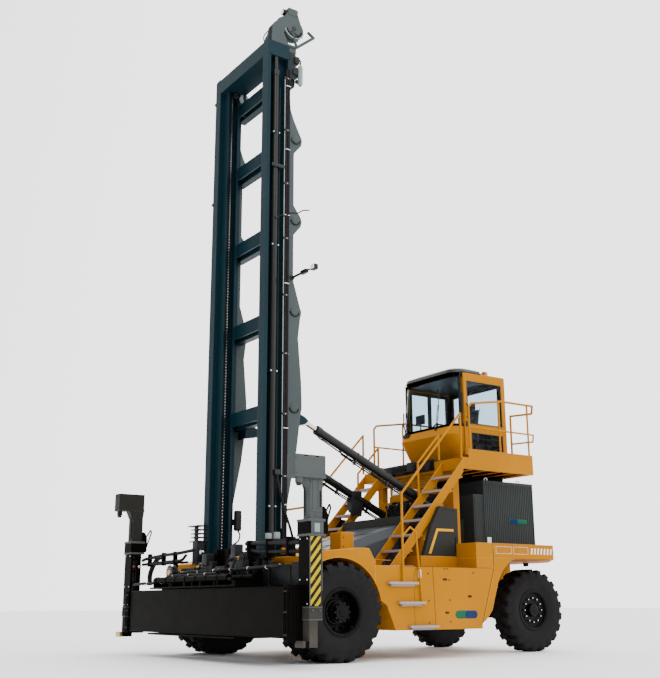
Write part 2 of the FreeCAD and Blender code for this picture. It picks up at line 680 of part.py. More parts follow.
def cab_door():
    """Sliding door leaf just outside the cab's left wall, with its two panes as separate solids."""
    x0, x1 = CAB_HALF + GAP, CAB_HALF + GAP + DOOR_T
    y0, y1 = DOOR_FRONT - 20, DOOR_BACK
    z0, z1 = PLAT_TOP + TOE_H + GAP, CAB_ROOF - 20.0
    leaf = box(x0, x1, y0, y1, z0, z1)
    upper = (y0 + 75, y1 - 65, CAB_FLOOR + 585, z1 - 150)
    lower = (y0 + 155, y1 - 68, CAB_FLOOR + 122, CAB_FLOOR + 415)
    panes = []
    for a, b, c, d in (upper, lower):
        leaf = leaf.cut(box(x0 - 1, x1 + 1, a, b, c, d))
        panes.append(box(x0 + 12, x0 + 12 + GLASS_T, a, b, c, d))
    return leaf, Part.makeCompound(panes)


def seat():
    """Driver's seat on its pedestal."""
    y, z = PLAT_FRONT + 990.0, CAB_FLOOR
    base = box(-230, 230, y, y + 450, z, z + 320)
    cushion = box(-250, 250, y - 50, y + 470, z + 320, z + 440)
    back = plate_x([(y + 380, z + 440), (y + 500, z + 440), (y + 610, z + 1130), (y + 510, z + 1130)],
                   -240, 240)
    return fuse([base, cushion, back])


def console():
    """Steering column with its wheel."""
    y, z = PLAT_FRONT + 730.0, CAB_FLOOR
    column = tube([(0, y, z), (0, y, z + 380), (0, y + 90, z + 570)], 35)
    wheel = Part.makeTorus(190, 14, V(0, y + 90, z + 580), V(0, 0.5, 0.87))
    spoke = box(-190, 190, y + 78, y + 102, z + 568, z + 592)
    return fuse([column, wheel, spoke])


def beacon():
    """Warning lamp on the roof's rear half."""
    y = CAB_BACK - 330.0
    return fuse([box(470, 630, y, y + 130, CAB_ROOF, CAB_ROOF + 30),
                 box(480, 620, y + 10, y + 120, CAB_ROOF + 30, CAB_ROOF + 95)])


def stair_line(z):
    """Y of the stair's centre line at a height."""
    fy, fz = STAIR_FOOT
    hy, hz = STAIR_HEAD
    return fy + (z - fz) * (hy - fy) / (hz - fz)


def stair_line_z(y):
    fy, fz = STAIR_FOOT
    hy, hz = STAIR_HEAD
    return fz + (y - fy) * (hz - fz) / (hy - fy)


def stair():
    """Left stair: two stringers and its treads."""
    half = 95.0
    outline = [(stair_line(LEDGE_Z) - half, LEDGE_Z), (stair_line(LEDGE_Z) + half, LEDGE_Z),
               (PLAT_FRONT, stair_line_z(PLAT_FRONT - half)), (PLAT_FRONT, stair_line_z(PLAT_FRONT + half))]
    parts = []
    for x in (STAIR_IN, STAIR_OUT - STRINGER_T):
        parts.append(plate_x(outline, x, x + STRINGER_T))
    for i in range(6):
        z = 1620.0 + 250.0 * i
        y = stair_line(z)
        parts.append(box(STAIR_IN + STRINGER_T, STAIR_OUT - STRINGER_T, y - 95, y + 150, z - 30, z))
    return fuse(parts)


def side_steps():
    """Left access steps outside the side box: three treads on brackets, and one on the ledge."""
    parts = []
    for (y0, y1), z in zip(((837, 1397), (1026, 1523), (1223, 1764)), STEP_Z):
        parts.append(box(SIDE_X, SIDE_X + 75, y0, y1, z - 25, z))
        parts.append(plate_x([(y0 + 60, z - 25), (y1 - 60, z - 25), (y1 - 60, z - 60), (y0 + 60, z - 60)],
                             SIDE_X, SIDE_X + 40))
    return Part.makeCompound([fuse(parts[i:i + 2]) for i in (0, 2, 4)])


def stair_rails():
    """Left hand rails of the stair: an outer rail with its boarding hoop, and an inner one."""
    out = STAIR_OUT - 11
    mid = STAIR_IN + 11
    side = SIDE_X + 30
    low = tube([(side, 1130, STEP_Z[0]), (side, 1130, 2420), (out, 1627, 2505), (out, 2940, 3935),
                (out, 2940, PLAT_TOP)])
    hoop = tube([(side, 1130, 1780), (side, 1283, 1918), (side, 1392, 1850), (side, 1480, STEP_Z[1] - 10)],
                BRANCH_R)
    inner = tube([(mid, 2421, 2500), (mid, 2421, 3109), (mid, 2900, 3620), (mid, 2900, PLAT_TOP)])
    return Part.makeCompound([fuse([low, hoop]).cut(side_steps()), inner.cut(stair())])


def platform_rails():
    """Left rails of the walkway: top and middle rail, each looped back across the rear end."""
    x = PLAT_X - 30
    out = PLAT_BACK + LOOP_OUT
    post = PLAT_BACK - 50
    end = PLAT_X - 450
    front = PLAT_FRONT + 220
    low = RAIL_Z - 135
    mid = RAIL_MID_Z
    parts = [tube([(x, front, PLAT_TOP), (x, front, 4080), (x, front + 60, 4150), (x, front + 780, RAIL_Z),
                   (x, out, RAIL_Z), (x - 25, out, low), (end, post, low), (end, post, PLAT_TOP)])]
    parts.append(tube([(x, post, PLAT_TOP), (x, post, RAIL_Z)], BRANCH_R + 2))
    parts.append(tube([(x, front, mid), (x, out - 10, mid), (x - 20, out - 10, mid - 120),
                       (end, post, mid - 120)], BRANCH_R))
    parts.append(tube([(x, PLAT_FRONT + 940, PLAT_TOP), (x, PLAT_FRONT + 940, RAIL_Z)], BRANCH_R + 2))
    return fuse(parts)


# ---- mast ---------------------------------------------------------------------------
def lobe_line():
    """Rear edge of the mast's side plate, as (y, z) points from the foot to the top."""
    points = [(-142, 2653), (-46, 3133), (20, 3660), (46, LOBE_1_Z), (33, 4202), LOWER_WAIST]
    for i, (z, taper) in enumerate(LOBES):
        if i > 0:
            points.append((WAIST, z - LOBE_RISE))
        points += [(LOBE_TIP - 18, z - 95), (LOBE_TIP, z - 30), (LOBE_TIP, z + 20), (LOBE_TIP - 22, z + 70),
                   (WAIST, z + taper)]
    return points + [(WAIST - 68, 8944), (COLUMN_BACK + 7, PLATE_TOP)]


def side_plate():
    """Left lobed plate behind the outer column, with its round bosses."""
    outline = [(COLUMN_BACK, PLATE_FOOT)] + lobe_line() + [(COLUMN_BACK, PLATE_TOP)]
    x0, x1 = SIDE_PLATE_X - SIDE_PLATE_T / 2, SIDE_PLATE_X + SIDE_PLATE_T / 2
    parts = [plate_x(outline, x0, x1)]
    for z in (LOBE_1_Z,) + tuple(z for z, taper in LOBES):
        parts.append(bar((x1 - 1, BOSS_Y, z), X_AXIS, BOSS_R, 13))
    return fuse(parts)


def outer_column():
    """Left outer column: a channel open to the outside, with the lug of the mast's pivot behind it."""
    x0, x1 = MAST_HALF - COLUMN_W, MAST_HALF
    front = box(x0, x1, MAST_FRONT, MAST_FRONT + FLANGE_T, MAST_FOOT, OUTER_TOP)
    back = box(x0, x1, COLUMN_BACK - 50, COLUMN_BACK, MAST_FOOT, OUTER_TOP)
    web = box(x0, x0 + WEB_T, MAST_FRONT, COLUMN_BACK, MAST_FOOT, OUTER_TOP)
    parts = [front, back, web]
    parts.append(plate_x([(COLUMN_BACK - 10, PIVOT_Z - 120), (PIVOT_Y - 10, PIVOT_Z - 75),
                          (PIVOT_Y + 55, PIVOT_Z - 50), (PIVOT_Y + 75, PIVOT_Z), (PIVOT_Y + 55, PIVOT_Z + 55),
                          (COLUMN_BACK - 10, PIVOT_Z + 120)], SIDE_PLATE_X - 28, SIDE_PLATE_X + 28))
    parts.append(box(x0, x1, MAST_FRONT, COLUMN_BACK, MAST_FOOT, LIFT_FOOT))
    hole = bar((SIDE_PLATE_X - 60, PIVOT_Y, PIVOT_Z), X_AXIS, PIVOT_R + 0.5, 120)
    return fuse(parts).cut(hole)


def mast_beams():
    """Rear cross beams of the outer mast, with the ears and pins for the tilt rods."""
    x = SIDE_PLATE_X - SIDE_PLATE_T / 2
    beams = []
    for top in BEAM_TOPS + (OUTER_TOP - 170.0,):
        beams.append(box(-x, x, COLUMN_BACK, COLUMN_BACK + BEAM_D, top - BEAM_H, top))
    beams.append(box(-x, x, COLUMN_BACK, COLUMN_BACK + 60, 1150, 1400))
    ears = tilt_ears()
    beams[0] = fuse([beams[0], ears, mirrored(ears)])
    return Part.makeCompound(beams)


def tilt_ears():
    """Left pair of plates behind the lowest beam that hold the tilt rod's eye, with the pin between them."""
    ey, ez = TILT_EYE
    y0 = COLUMN_BACK + BEAM_D
    parts = [box(TILT_X - 110, SIDE_PLATE_X - SIDE_PLATE_T / 2, y0, y0 + 40, ez - 110, ez + 180)]
    for x in (TILT_X - 72, TILT_X + 44):
        outline = [(y0, ez - 110), (ey - 20, ez - 60), (ey + 50, ez), (ey - 20, ez + 60), (y0, ez + 180)]
        parts.append(plate_x(outline, x, x + 28))
    parts.append(bar((TILT_X - 60, ey, ez), X_AXIS, TILT_PIN_R, 120))
    return fuse(parts)


def lift_cylinder():
    """Left lift cylinder's barrel, hollow for its rod."""
    height = OUTER_TOP - 260 - LIFT_FOOT
    outer = bar((LIFT_X, LIFT_Y, LIFT_FOOT), Z_AXIS, LIFT_R, height)
    return outer.cut(bar((LIFT_X, LIFT_Y, LIFT_FOOT + 60), Z_AXIS, LIFT_ROD_R + 3, height))


def lift_rod():
    foot = LIFT_FOOT + 80
    return bar((LIFT_X, LIFT_Y, foot), Z_AXIS, LIFT_ROD_R, OUTER_TOP + GAP - foot)


def hose_run():
    """Pair of hoses clamped along the outside of the left outer column."""
    z0, z1 = 1500.0, OUTER_TOP - 200
    parts = []
    for y in (-318.0, -286.0):
        parts.append(bar((MAST_HALF + 15, y, z0), Z_AXIS, 13, z1 - z0))
    for i in range(9):
        z = z0 + 200 + i * (z1 - z0 - 400) / 8
        parts.append(box(MAST_HALF, MAST_HALF + 32, -335, -269, z, z + 40))
    return fuse(parts)


def inner_column():
    x1 = MAST_HALF - COLUMN_W - INNER_CLEAR
    x0 = x1 - INNER_W
    front = box(x0, x1, INNER_FRONT, INNER_FRONT + INNER_FLANGE_T, INNER_FOOT, OUTER_TOP + GAP)
    back = box(x0, x1, INNER_BACK - INNER_FLANGE_T, INNER_BACK, INNER_FOOT, OUTER_TOP + GAP)
    web = box(x1 - INNER_WEB_T, x1, INNER_FRONT, INNER_BACK, INNER_FOOT, OUTER_TOP + GAP)
    return fuse([front, back, web])


def inner_mast():
    """Both inner columns with the thin cross plates behind them."""
    column = inner_column()
    x = MAST_HALF - COLUMN_W - INNER_CLEAR - INNER_W + 60
    parts = [column, mirrored(column)]
    for top in BEAM_TOPS + (OUTER_TOP - 200.0, 1400.0):
        parts.append(box(-x, x, INNER_BACK, INNER_BACK + 30, top - BEAM_H + 20, top - 10))
    return fuse(parts)


def head_beam():
    """Beam across the top of the inner mast, over the outer columns."""
    return box(-MAST_HALF, MAST_HALF, MAST_FRONT, COLUMN_BACK - 20, OUTER_TOP + GAP, MAST_TOP)


def head_bracket():
    """Hose sheave on the left end of the head beam, between two plates, with its cap, hook arm and lamp."""
    x0, x1 = BRACKET_X
    y, z = SHEAVE_AT
    front, back = y - 250.0, y + 175.0
    side = [(MAST_FRONT + 70, MAST_TOP), (front - 180, z - 60), (front - 60, z + 110), (front + 60, z + 190),
            (y - 110, z + 340), (y + 60, z + 340), (back, z + 20), (back, z - 130), (y - 40, z - 60),
            (y - 220, z - 130), (COLUMN_BACK - 20, MAST_TOP)]
    plates = [plate_x(side, x0, x0 + 16), plate_x(side, x1 - 16, x1)]
    sheave = bar((x0 + 16, y, z), X_AXIS, SHEAVE_R, x1 - x0 - 32)
    groove = ring(((x0 + x1) / 2 - 22, y, z), X_AXIS, SHEAVE_R + 1, SHEAVE_R - 26, 44)
    cap = box(x0 - 10, x1 + 10, y - 120, y + 70, HEAD_TIP - 125, HEAD_TIP)
    lamp = bar(((x0 + x1) / 2, y - 130, (z + HEAD_TIP) / 2 + 120), Y_AXIS, 46, 60)
    arm_x = x1 - 8
    hook = tube([(arm_x, y - 40, z - 100), (arm_x, y + 60, MAST_TOP + 30), (arm_x, 245, 10471),
                 (arm_x, 122, 10542)], 26)
    foot = box(x0, x1, COLUMN_BACK - 60, COLUMN_BACK + 130, MAST_TOP, MAST_TOP + 40)
    hanger = box(x0 + 20, x1 - 20, COLUMN_BACK - 20, COLUMN_BACK + 130, MAST_TOP - 90, MAST_TOP)
    return fuse(plates + [sheave.cut(groove), cap, lamp, hook, foot, hanger])


def chains():
    """Leaf chain down the inside of each inner column, with its sheave under the head beam."""
    x0, x1 = CARR_X + GAP + 2, CARR_X + GAP + 32
    sheave_r = 60.0
    z = OUTER_TOP - sheave_r
    chain = box(x0, x1, -560, -520, 700, z)
    sheave = bar((x0, -470, z), X_AXIS, sheave_r, x1 - x0)
    hanger = box(x0, x1, -490, -450, z, OUTER_TOP + GAP)
    return both(fuse([chain, sheave, hanger]))


# ---- carriage and spreader ----------------------------------------------------------
def carriage():
    """Side plates inside the mast with rollers, and two cross bars in front of it."""
    roll_y = (INNER_FRONT + INNER_BACK) / 2
    roll_r = (INNER_BACK - INNER_FRONT) / 2 - INNER_FLANGE_T - GAP
    bar_back = CARR_BAR_FRONT + CARR_BAR_T
    plate = plate_x([(bar_back - 10, CARR_BOTTOM), (-400, CARR_BOTTOM), (-400, CARR_TOP), (-600, CARR_TOP),
                     (-680, CARR_TOP - 120), (bar_back - 10, CARR_TOP - 120)], CARR_X - 55, CARR_X)
    parts = [plate, mirrored(plate)]
    for side in (-1, 1):
        for z in (CARR_BOTTOM + 140, CARR_TOP - 140):
            parts.append(bar((side * (CARR_X - 10), roll_y, z), V(side, 0, 0), 28, 100))
            parts.append(bar((side * (CARR_X + 72), roll_y, z), V(side, 0, 0), roll_r, 62))
    for z0, z1 in ((CARR_BOTTOM, CARR_BOTTOM + 190), (CARR_TOP - 260, CARR_TOP - 40)):
        parts.append(box(-CARR_BAR_HALF, CARR_BAR_HALF, CARR_BAR_FRONT, bar_back, z0, z1))
    parts.append(box(-CARR_X, CARR_X, -470, -430, CARR_BOTTOM + 250, CARR_BOTTOM + 420))
    return fuse(parts)


def spreader_frame():
    """Sideshift frame that hooks over the carriage bars and holds the two telescoping arms."""
    back = CARR_BAR_FRONT - GAP
    front = SPR_FRONT + 15
    bar_back = CARR_BAR_FRONT + CARR_BAR_T
    bar_top = CARR_TOP - 40
    low, high = ARM_BOTTOM - 40, ARM_TOP + 45
    parts = [box(-FRAME_HALF, FRAME_HALF, back - 60, back - 20, low, high)]
    for z in (low, high - 25):
        parts.append(box(-FRAME_HALF, FRAME_HALF, front, back - 20, z, z + 25))
    parts.append(box(-FRAME_HALF, FRAME_HALF, -1170, -1150, low, high))
    for x in (-HANGER_OUT, HANGER_OUT - HANGER_W):
        parts.append(box(x, x + HANGER_W, back - 60, back, ARM_BOTTOM - 20, CARR_TOP - 20))
        parts.append(box(x, x + HANGER_W, back - 60, bar_back + GAP + 18, bar_top + GAP, CARR_TOP + 20))
        parts.append(box(x, x + HANGER_W, bar_back + GAP, bar_back + GAP + 18, bar_top - 50, CARR_TOP + 20))
        parts.append(box(x, x + HANGER_W, back - 60, bar_back - 10, ARM_BOTTOM - 20, CARR_BOTTOM - GAP))
    parts += pipe_saddles()
    return fuse(parts)


def pipe_saddles():
    """Cross plates on the frame's top that carry the telescope cylinders."""
    saddles = []
    for x in (-FRAME_HALF + 60, -FRAME_HALF / 2, 0.0, FRAME_HALF / 2, FRAME_HALF - 90):
        saddles.append(box(x, x + 30, PIPE_Y[0] - 60, PIPE_Y[1] + 60, ARM_TOP + 40, ARM_TOP + 100))
    return saddles


def telescope_cylinders():
    """Long cylinders over the frame that push the arms out, each held in the saddles."""
    z = ARM_TOP + 100 + PIPE_R - 4
    barrels = []
    for y, x0 in zip(PIPE_Y, (-FRAME_HALF + 20, -FRAME_HALF + 350)):
        body = bar((x0, y, z), X_AXIS, PIPE_R, 2 * FRAME_HALF - 370)
        bands = [bar((x0 + 60 + 340 * i, y, z), X_AXIS, PIPE_R + 8, 45) for i in range(7)]
        barrels.append(fuse([body] + bands))
    return Part.makeCompound(barrels).cut(Part.makeCompound(pipe_saddles()))


def arm(front, side):
    """A telescoping arm with its tower; front picks the front or the rear beam slot."""
    if front:
        y0, y1 = SPR_FRONT + 10, SPR_FRONT + 10 + ARM_D
    else:
        y0, y1 = -1135.0, -1135.0 + ARM_D + 60
    tower_in = SPR_HALF - TOWER_W
    beam = box(-ARM_REACH, tower_in + 110, y0, y1, ARM_BOTTOM, ARM_TOP)
    end = box(tower_in, tower_in + 110, min(y0, TOWER_FRONT) - 5, max(y1, TOWER_FRONT) + 5,
              ARM_BOTTOM - 50, ARM_TOP + 10)
    column = box(tower_in, SPR_HALF, TOWER_FRONT, TOWER_BACK, SHOE_Z[0], TOWER_TOP)
    shoe = box(tower_in - 8, SPR_HALF + 8, TOWER_FRONT - 8, TOWER_BACK + 8, *SHOE_Z)
    leg = box(SPR_HALF - LEG_W, SPR_HALF, TOWER_FRONT, TOWER_FRONT + LEG_D, TOWER_FOOT, SHOE_Z[0] + 1)
    toe = box(SPR_HALF - LEG_W, SPR_HALF, TOWER_FRONT - TOE_D, TOWER_FRONT + 1, TOWER_FOOT, TOWER_FOOT + 75)
    collar = box(tower_in - 10, SPR_HALF + 12, TOWER_FRONT - 17, TOWER_BACK + 50,
                 TOWER_TOP, TOWER_TOP + COLLAR_H)
    x0, x1 = POST_X - POST_W / 2 - GAP, POST_X + POST_W / 2 + GAP
    back = POST_FACE + POST_D + GAP
    y, z = back + 75, TOWER_TOP + COLLAR_H
    guard = plate_x([(back, z - 190), (y - 15, z - 180), (y, z - 150), (y, z + 60), (y - 30, z + 140),
                     (y - 60, z + 170), (back, z + 170)], tower_in + 30, SPR_HALF - 10)
    throat = box(x0, x1, POST_FACE - GAP, back, SHOE_Z[1] + 60, TOWER_TOP + 500)
    whole = fuse([beam, end, column, shoe, leg, toe, collar, guard]).cut(throat)
    if side < 0:
        whole = mirrored(whole)
    return whole


def head(side):
    """Tower head: the post that slides in the tower, its box, and the lifting hook."""
    x0, x1 = POST_X - POST_W / 2, POST_X + POST_W / 2
    back = POST_FACE + POST_D
    post = box(x0, x1, POST_FACE, back, SHOE_Z[1] + 200, POST_TOP + 5)
    flare = plate_x([(POST_FACE - 70, POST_TOP + 1), (POST_FACE, POST_TOP - 150), (back, POST_TOP - 150),
                     (back + 20, POST_TOP + 1)], x0 + 10, x1 - 10)
    cap = box(SPR_HALF - HEAD_W, SPR_HALF + HEAD_LIP, SPR_FRONT - 5, -930, POST_TOP, HEAD_TOP)
    rim_plate = box(SPR_HALF - HEAD_W - 8, SPR_HALF + HEAD_LIP + 6, SPR_FRONT - 5, -922,
                    POST_TOP, POST_TOP + 25)
    hook = box(HOOK_X - 36, HOOK_X + 36, SPR_FRONT + 40, SPR_FRONT + 110, POST_TOP - 70, POST_TOP + 1)
    whole = fuse([post, flare, cap, rim_plate, hook])
    if side < 0:
        whole = mirrored(whole)
    return whole


# ---- tilt cylinders -----------------------------------------------------------------
def tilt_axis():
    eye = V(0, *TILT_EYE)
    pin = V(0, *TILT_PIN)
    run = eye.sub(pin)
    length = run.Length
    run.normalize()
    return run, length


def tilt_barrel():
    run, length = tilt_axis()
    pin = V(TILT_X, *TILT_PIN)
    start = pin.add(run * 70)
    body = Part.makeCylinder(TILT_R, length - 70 - TILT_BARREL_REACH, start, run)
    eye = bar((TILT_X - TILT_EYE_W / 2, *TILT_PIN), X_AXIS, TILT_EYE_R, TILT_EYE_W)
    link = Part.makeCylinder(36, 60, pin.add(run * 40), run)
    bore = Part.makeCylinder(TILT_ROD_R + 2, length, pin.add(run * 420), run)
    whole = fuse([body, eye, link]).cut(bore)
    return whole.cut(bar((TILT_X - 40, *TILT_PIN), X_AXIS, TILT_PIN_R + 0.5, 80))


def tilt_rod():
    run, length = tilt_axis()
    pin = V(TILT_X, *TILT_PIN)
    rod = Part.makeCylinder(TILT_ROD_R, length - 640 - 40, pin.add(run * 640), run)
    eye = bar((TILT_X - 36, *TILT_EYE), X_AXIS, 66, 72)
    hole = bar((TILT_X - 40, *TILT_EYE), X_AXIS, TILT_PIN_R + TILT_EYE_PLAY, 80)
    return fuse([rod, eye]).cut(hole)


# ---- write the nodes ----------------------------------------------------------------
def main():
    os.makedirs("parts", exist_ok=True)
    front_tyre, front_rim = front_wheel()
    back_tyre, back_rim = rear_wheel()
    door, door_glass = cab_door()
    sided = {"front_tyres": front_tyre, "front_rims": front_rim, "rear_tyre": back_tyre, "rear_rim": back_rim,
             "knuckle": knuckle(), "tilt_barrel": tilt_barrel(), "tilt_rod": tilt_rod()}
    for name, shape in sided.items():
        export(name + "_left", shape)
        export(name + "_right", mirrored(shape))
    pairs = {"front_fenders": front_fender(), "side_bodies": side_body(), "side_covers": side_cover(),
             "rear_arches": rear_arch(), "side_boxes": side_box(),
             "side_steps": side_steps(), "stair_rails": stair_rails(), "platform_rails": platform_rails(),
             "stairs": stair(), "mast_columns": outer_column(), "mast_side_plates": side_plate(),
             "lift_cylinders": lift_cylinder(),
             "lift_rods": lift_rod()}
    for name, shape in pairs.items():
        export(name, both(shape))
    single = {"drive_axle": drive_axle(), "steer_axle": steer_axle(), "chassis_frame": chassis_frame(),
              "rear_deck": rear_deck(), "counterweight": counterweight(), "hood": hood(),
              "housing": housing(), "battery": battery(),
              "gantry": gantry(), "platform": platform(), "cab_mounts": cab_mounts(),
              "cab_floor": cab_floor(), "cab_shell": cab_shell(),
              "cab_glass": cab_glass(), "cab_roof": cab_roof(), "cab_door": door, "cab_door_glass": door_glass,
              "seat": seat(), "steering_console": console(), "beacon": beacon(), "mast_beams": mast_beams(),
              "mast_hoses": hose_run(), "inner_mast": inner_mast(), "head_beam": head_beam(),
              "head_bracket": head_bracket(), "lift_chains": chains(), "carriage": carriage(),
              "spreader_frame": spreader_frame(), "telescope_cylinders": telescope_cylinders(),
              "arm_left": arm(True, 1), "arm_right": arm(False, -1),
              "head_left": head(1), "head_right": head(-1)}
    for name, shape in single.items():
        export(name, shape)


main()
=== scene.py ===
import json
import math

import bmesh
import bpy
from mathutils import Matrix, Vector


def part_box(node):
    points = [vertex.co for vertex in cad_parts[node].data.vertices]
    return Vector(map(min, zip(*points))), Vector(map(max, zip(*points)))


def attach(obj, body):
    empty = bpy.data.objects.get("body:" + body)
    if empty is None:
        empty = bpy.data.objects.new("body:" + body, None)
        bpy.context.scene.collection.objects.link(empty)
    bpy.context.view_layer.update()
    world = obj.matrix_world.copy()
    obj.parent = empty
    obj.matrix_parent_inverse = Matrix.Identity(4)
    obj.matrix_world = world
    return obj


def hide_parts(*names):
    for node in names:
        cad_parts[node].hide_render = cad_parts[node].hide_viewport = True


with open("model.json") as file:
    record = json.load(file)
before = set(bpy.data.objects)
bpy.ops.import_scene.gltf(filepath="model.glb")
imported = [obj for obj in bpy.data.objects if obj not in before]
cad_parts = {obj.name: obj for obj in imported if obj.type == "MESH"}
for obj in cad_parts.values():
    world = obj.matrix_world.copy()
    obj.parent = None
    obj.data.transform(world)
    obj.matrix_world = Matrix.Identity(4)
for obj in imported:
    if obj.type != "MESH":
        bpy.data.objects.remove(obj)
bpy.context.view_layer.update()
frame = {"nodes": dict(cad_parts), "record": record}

NODES = frame["nodes"]
AXLE_Y = sum(corner[1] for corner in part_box("front_rims_left")) / 2
TAU = 2 * math.pi
X, Y, Z = (Vector(axis) for axis in ((1, 0, 0), (0, 1, 0), (0, 0, 1)))


class Box:
    """A node's box at rest. Here and in every piece Y is counted from the drive axle, in metres."""

    def __init__(self, name):
        low, high = (Vector(corner) - AXLE_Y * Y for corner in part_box(name))
        (self.x0, self.y0, self.z0), (self.x1, self.y1, self.z1) = low, high
        self.middle = (low + high) / 2


def put(name, data):
    """A new object in the scene."""
    obj = bpy.data.objects.new(name, data)
    bpy.context.collection.objects.link(obj)
    return obj


def steps(first, step, count):
    """Evenly spaced values."""
    return [first + step * k for k in range(count)]


def circle(count, start=0):
    """Evenly spaced angles of a full turn."""
    return [start + TAU * k / count for k in range(count)]


# ---- view -------------------------------------------------------------------------------
CAMERA_AT = (13.6795, -10.1657, .8007)
CAMERA_TURN = 55.2546          # degrees from straight ahead of the machine towards its left
CAMERA_TILT = 15.1358          # upwards
CAMERA_ROLL = -.2195
CAMERA_LENS = 51.983
WORLD_AHEAD, WORLD_BEHIND = 3, .84
WORLD_BLEND = (-.6, .35)       # between the two, along Y
# name, direction, strength, angle across
KEYS = (("key", (-.7, .45, -.5), .9, 18), ("top", (-.15, .3, -.95), .8, 40))
FLOOR_HALF, FLOOR_TONE = 120, (.93, .93, .93)


class Tree:
    """The node tree of a world or a material, with short ways to add nodes to it."""

    def __init__(self, owner):
        owner.use_nodes = True
        self.nodes, self.links = owner.node_tree.nodes, owner.node_tree.links

    def fill(self, node, sockets):
        """Sets each socket to a constant, or links it where the value is another node's output."""
        for key, value in sockets.items():
            socket = node.inputs[key]
            if isinstance(value, bpy.types.NodeSocket):
                self.links.new(value, socket)
            elif isinstance(value, tuple) and len(value) < len(socket.default_value):
                socket.default_value = (*value, 1)
            else:
                socket.default_value = value

    def add(self, kind, sockets=(), out=0, **settings):
        """The output of a new node."""
        node = self.nodes.new("ShaderNode" + kind)
        for key, value in settings.items():
            setattr(node, key, value)
        self.fill(node, dict(sockets))
        return node.outputs[out]

    def spread(self, value, start, end, low=0, high=1):
        """Maps a value from one span to another."""
        return self.add("MapRange", {"Value": value, "From Min": start, "From Max": end,
                                     "To Min": low, "To Max": high})

    def calc(self, kind, *values):
        return self.add("Math", enumerate(values), operation=kind)


def make_camera():
    turn, tilt, roll = (math.radians(a) for a in (CAMERA_TURN, CAMERA_TILT, CAMERA_ROLL))
    ahead = Vector((-math.sin(turn) * math.cos(tilt), math.cos(turn) * math.cos(tilt), math.sin(tilt)))
    right = Vector((math.cos(turn), math.sin(turn), 0))
    up = right.cross(ahead)
    right, up = right * math.cos(roll) + up * math.sin(roll), up * math.cos(roll) - right * math.sin(roll)
    data = bpy.data.cameras.new("camera")
    data.lens = CAMERA_LENS
    data.clip_end = 200
    camera = put("camera", data)
    camera.matrix_world = Matrix.Translation(CAMERA_AT) @ Matrix((right, up, -ahead)).transposed().to_4x4()
    bpy.context.scene.camera = camera


def make_light():
    """A white studio, brighter ahead of the camera than behind it, and a soft key from the machine's left."""
    world = bpy.data.worlds.new("studio")
    tree = Tree(world)
    ahead = tree.add("SeparateXYZ", {0: tree.add("TexCoord", out="Generated")}, "Y")
    tree.fill(tree.nodes["Background"], {"Color": (1, 1, 1),
                                         "Strength": tree.spread(ahead, *WORLD_BLEND, WORLD_BEHIND, WORLD_AHEAD)})
    bpy.context.scene.world = world
    for name, towards, strength, angle in KEYS:
        data = bpy.data.lights.new(name, "SUN")
        data.energy = strength
        data.angle = math.radians(angle)
        put(name, data).rotation_euler = Vector(towards).to_track_quat("-Z", "Y").to_euler()


def make_floor():
    mesh = bpy.data.meshes.new("floor")
    mesh.from_pydata([(FLOOR_HALF * x, FLOOR_HALF * y, 0) for x, y in ((-1, -1), (1, -1), (1, 1), (-1, 1))], [],
                     [(0, 1, 2, 3)])
    floor = put("floor", mesh)
    material = bpy.data.materials.new("floor")
    tree = Tree(material)
    tree.fill(tree.nodes["Principled BSDF"], {"Base Color": FLOOR_TONE, "Roughness": .75})
    mesh.materials.append(material)


# ---- materials --------------------------------------------------------------------------
def tinted(colour, share):
    return tuple(c * share for c in colour)


class Finish(Tree):
    """A material in the making; its textures are in the object's own metres."""

    def __init__(self, name):
        self.material = bpy.data.materials.new(name)
        super().__init__(self.material)
        self.place = self.add("TexCoord", out="Object")

    def noise(self, scale, detail, stretch=None):
        place = self.add("Mapping", {"Scale": stretch, "Vector": self.place}) if stretch else self.place
        return self.add("TexNoise", {"Scale": scale, "Detail": detail, "Vector": place}, "Fac")

    def ramp(self, value, *stops):
        """A colour ramp between two (position, colour) stops."""
        node = self.nodes.new("ShaderNodeValToRGB")
        for element, (position, colour) in zip(node.color_ramp.elements, stops):
            element.position = position
            element.color = (*colour, 1)
        self.fill(node, {"Fac": value})
        return node.outputs["Color"]

    def mix(self, factor, first, second):
        return self.add("Mix", {0: factor, 6: first, 7: second}, 2, data_type="RGBA")

    def bump(self, height, strength, distance, **others):
        return self.add("Bump", {"Height": height, "Strength": strength, "Distance": distance, **others})

    def edges(self, radius):
        """1 on the arrises of a solid, 0 on its faces, where a rounded normal leaves the true one."""
        rounded = self.add("Bevel", {"Radius": radius}, samples=4)
        true = self.add("NewGeometry", out="Normal")
        dot = self.add("VectorMath", {0: rounded, 1: true}, "Value", operation="DOT_PRODUCT")
        return self.spread(dot, .995, .86), rounded

    def done(self, tone, rough, sockets):
        self.fill(self.nodes["Principled BSDF"], {"Base Color": tone, "Roughness": rough, **sockets})
        return self.material


def paint(name, colour, worn, rough, coat, shine=.3, grime=(.12, .1, .08), grime_height=.9):
    """Machine paint: slow colour drift, orange peel, rounded worn arrises and road dust low down."""
    f = Finish(name)
    tone = f.ramp(f.noise(.9, 3), (.3, tinted(colour, .9)), (.7, tinted(colour, 1.06)))
    mask, rounded = f.edges(.01)
    tone = f.mix(f.calc("MULTIPLY", mask, f.noise(35, 5)), tone, worn)
    low = f.spread(f.add("SeparateXYZ", {0: f.place}, "Z"), grime_height, .2, 0, .55)
    tone = f.mix(f.calc("MULTIPLY", low, f.noise(4, 6)), tone, grime)
    gloss = f.spread(f.noise(6, 5), 0, 1, rough - .06, rough + .12)
    return f.done(tone, gloss, {"Normal": f.bump(f.noise(160, 2), .12, .002, Normal=rounded),
                                "Coat Weight": coat, "Coat Roughness": .12, "Specular IOR Level": shine})


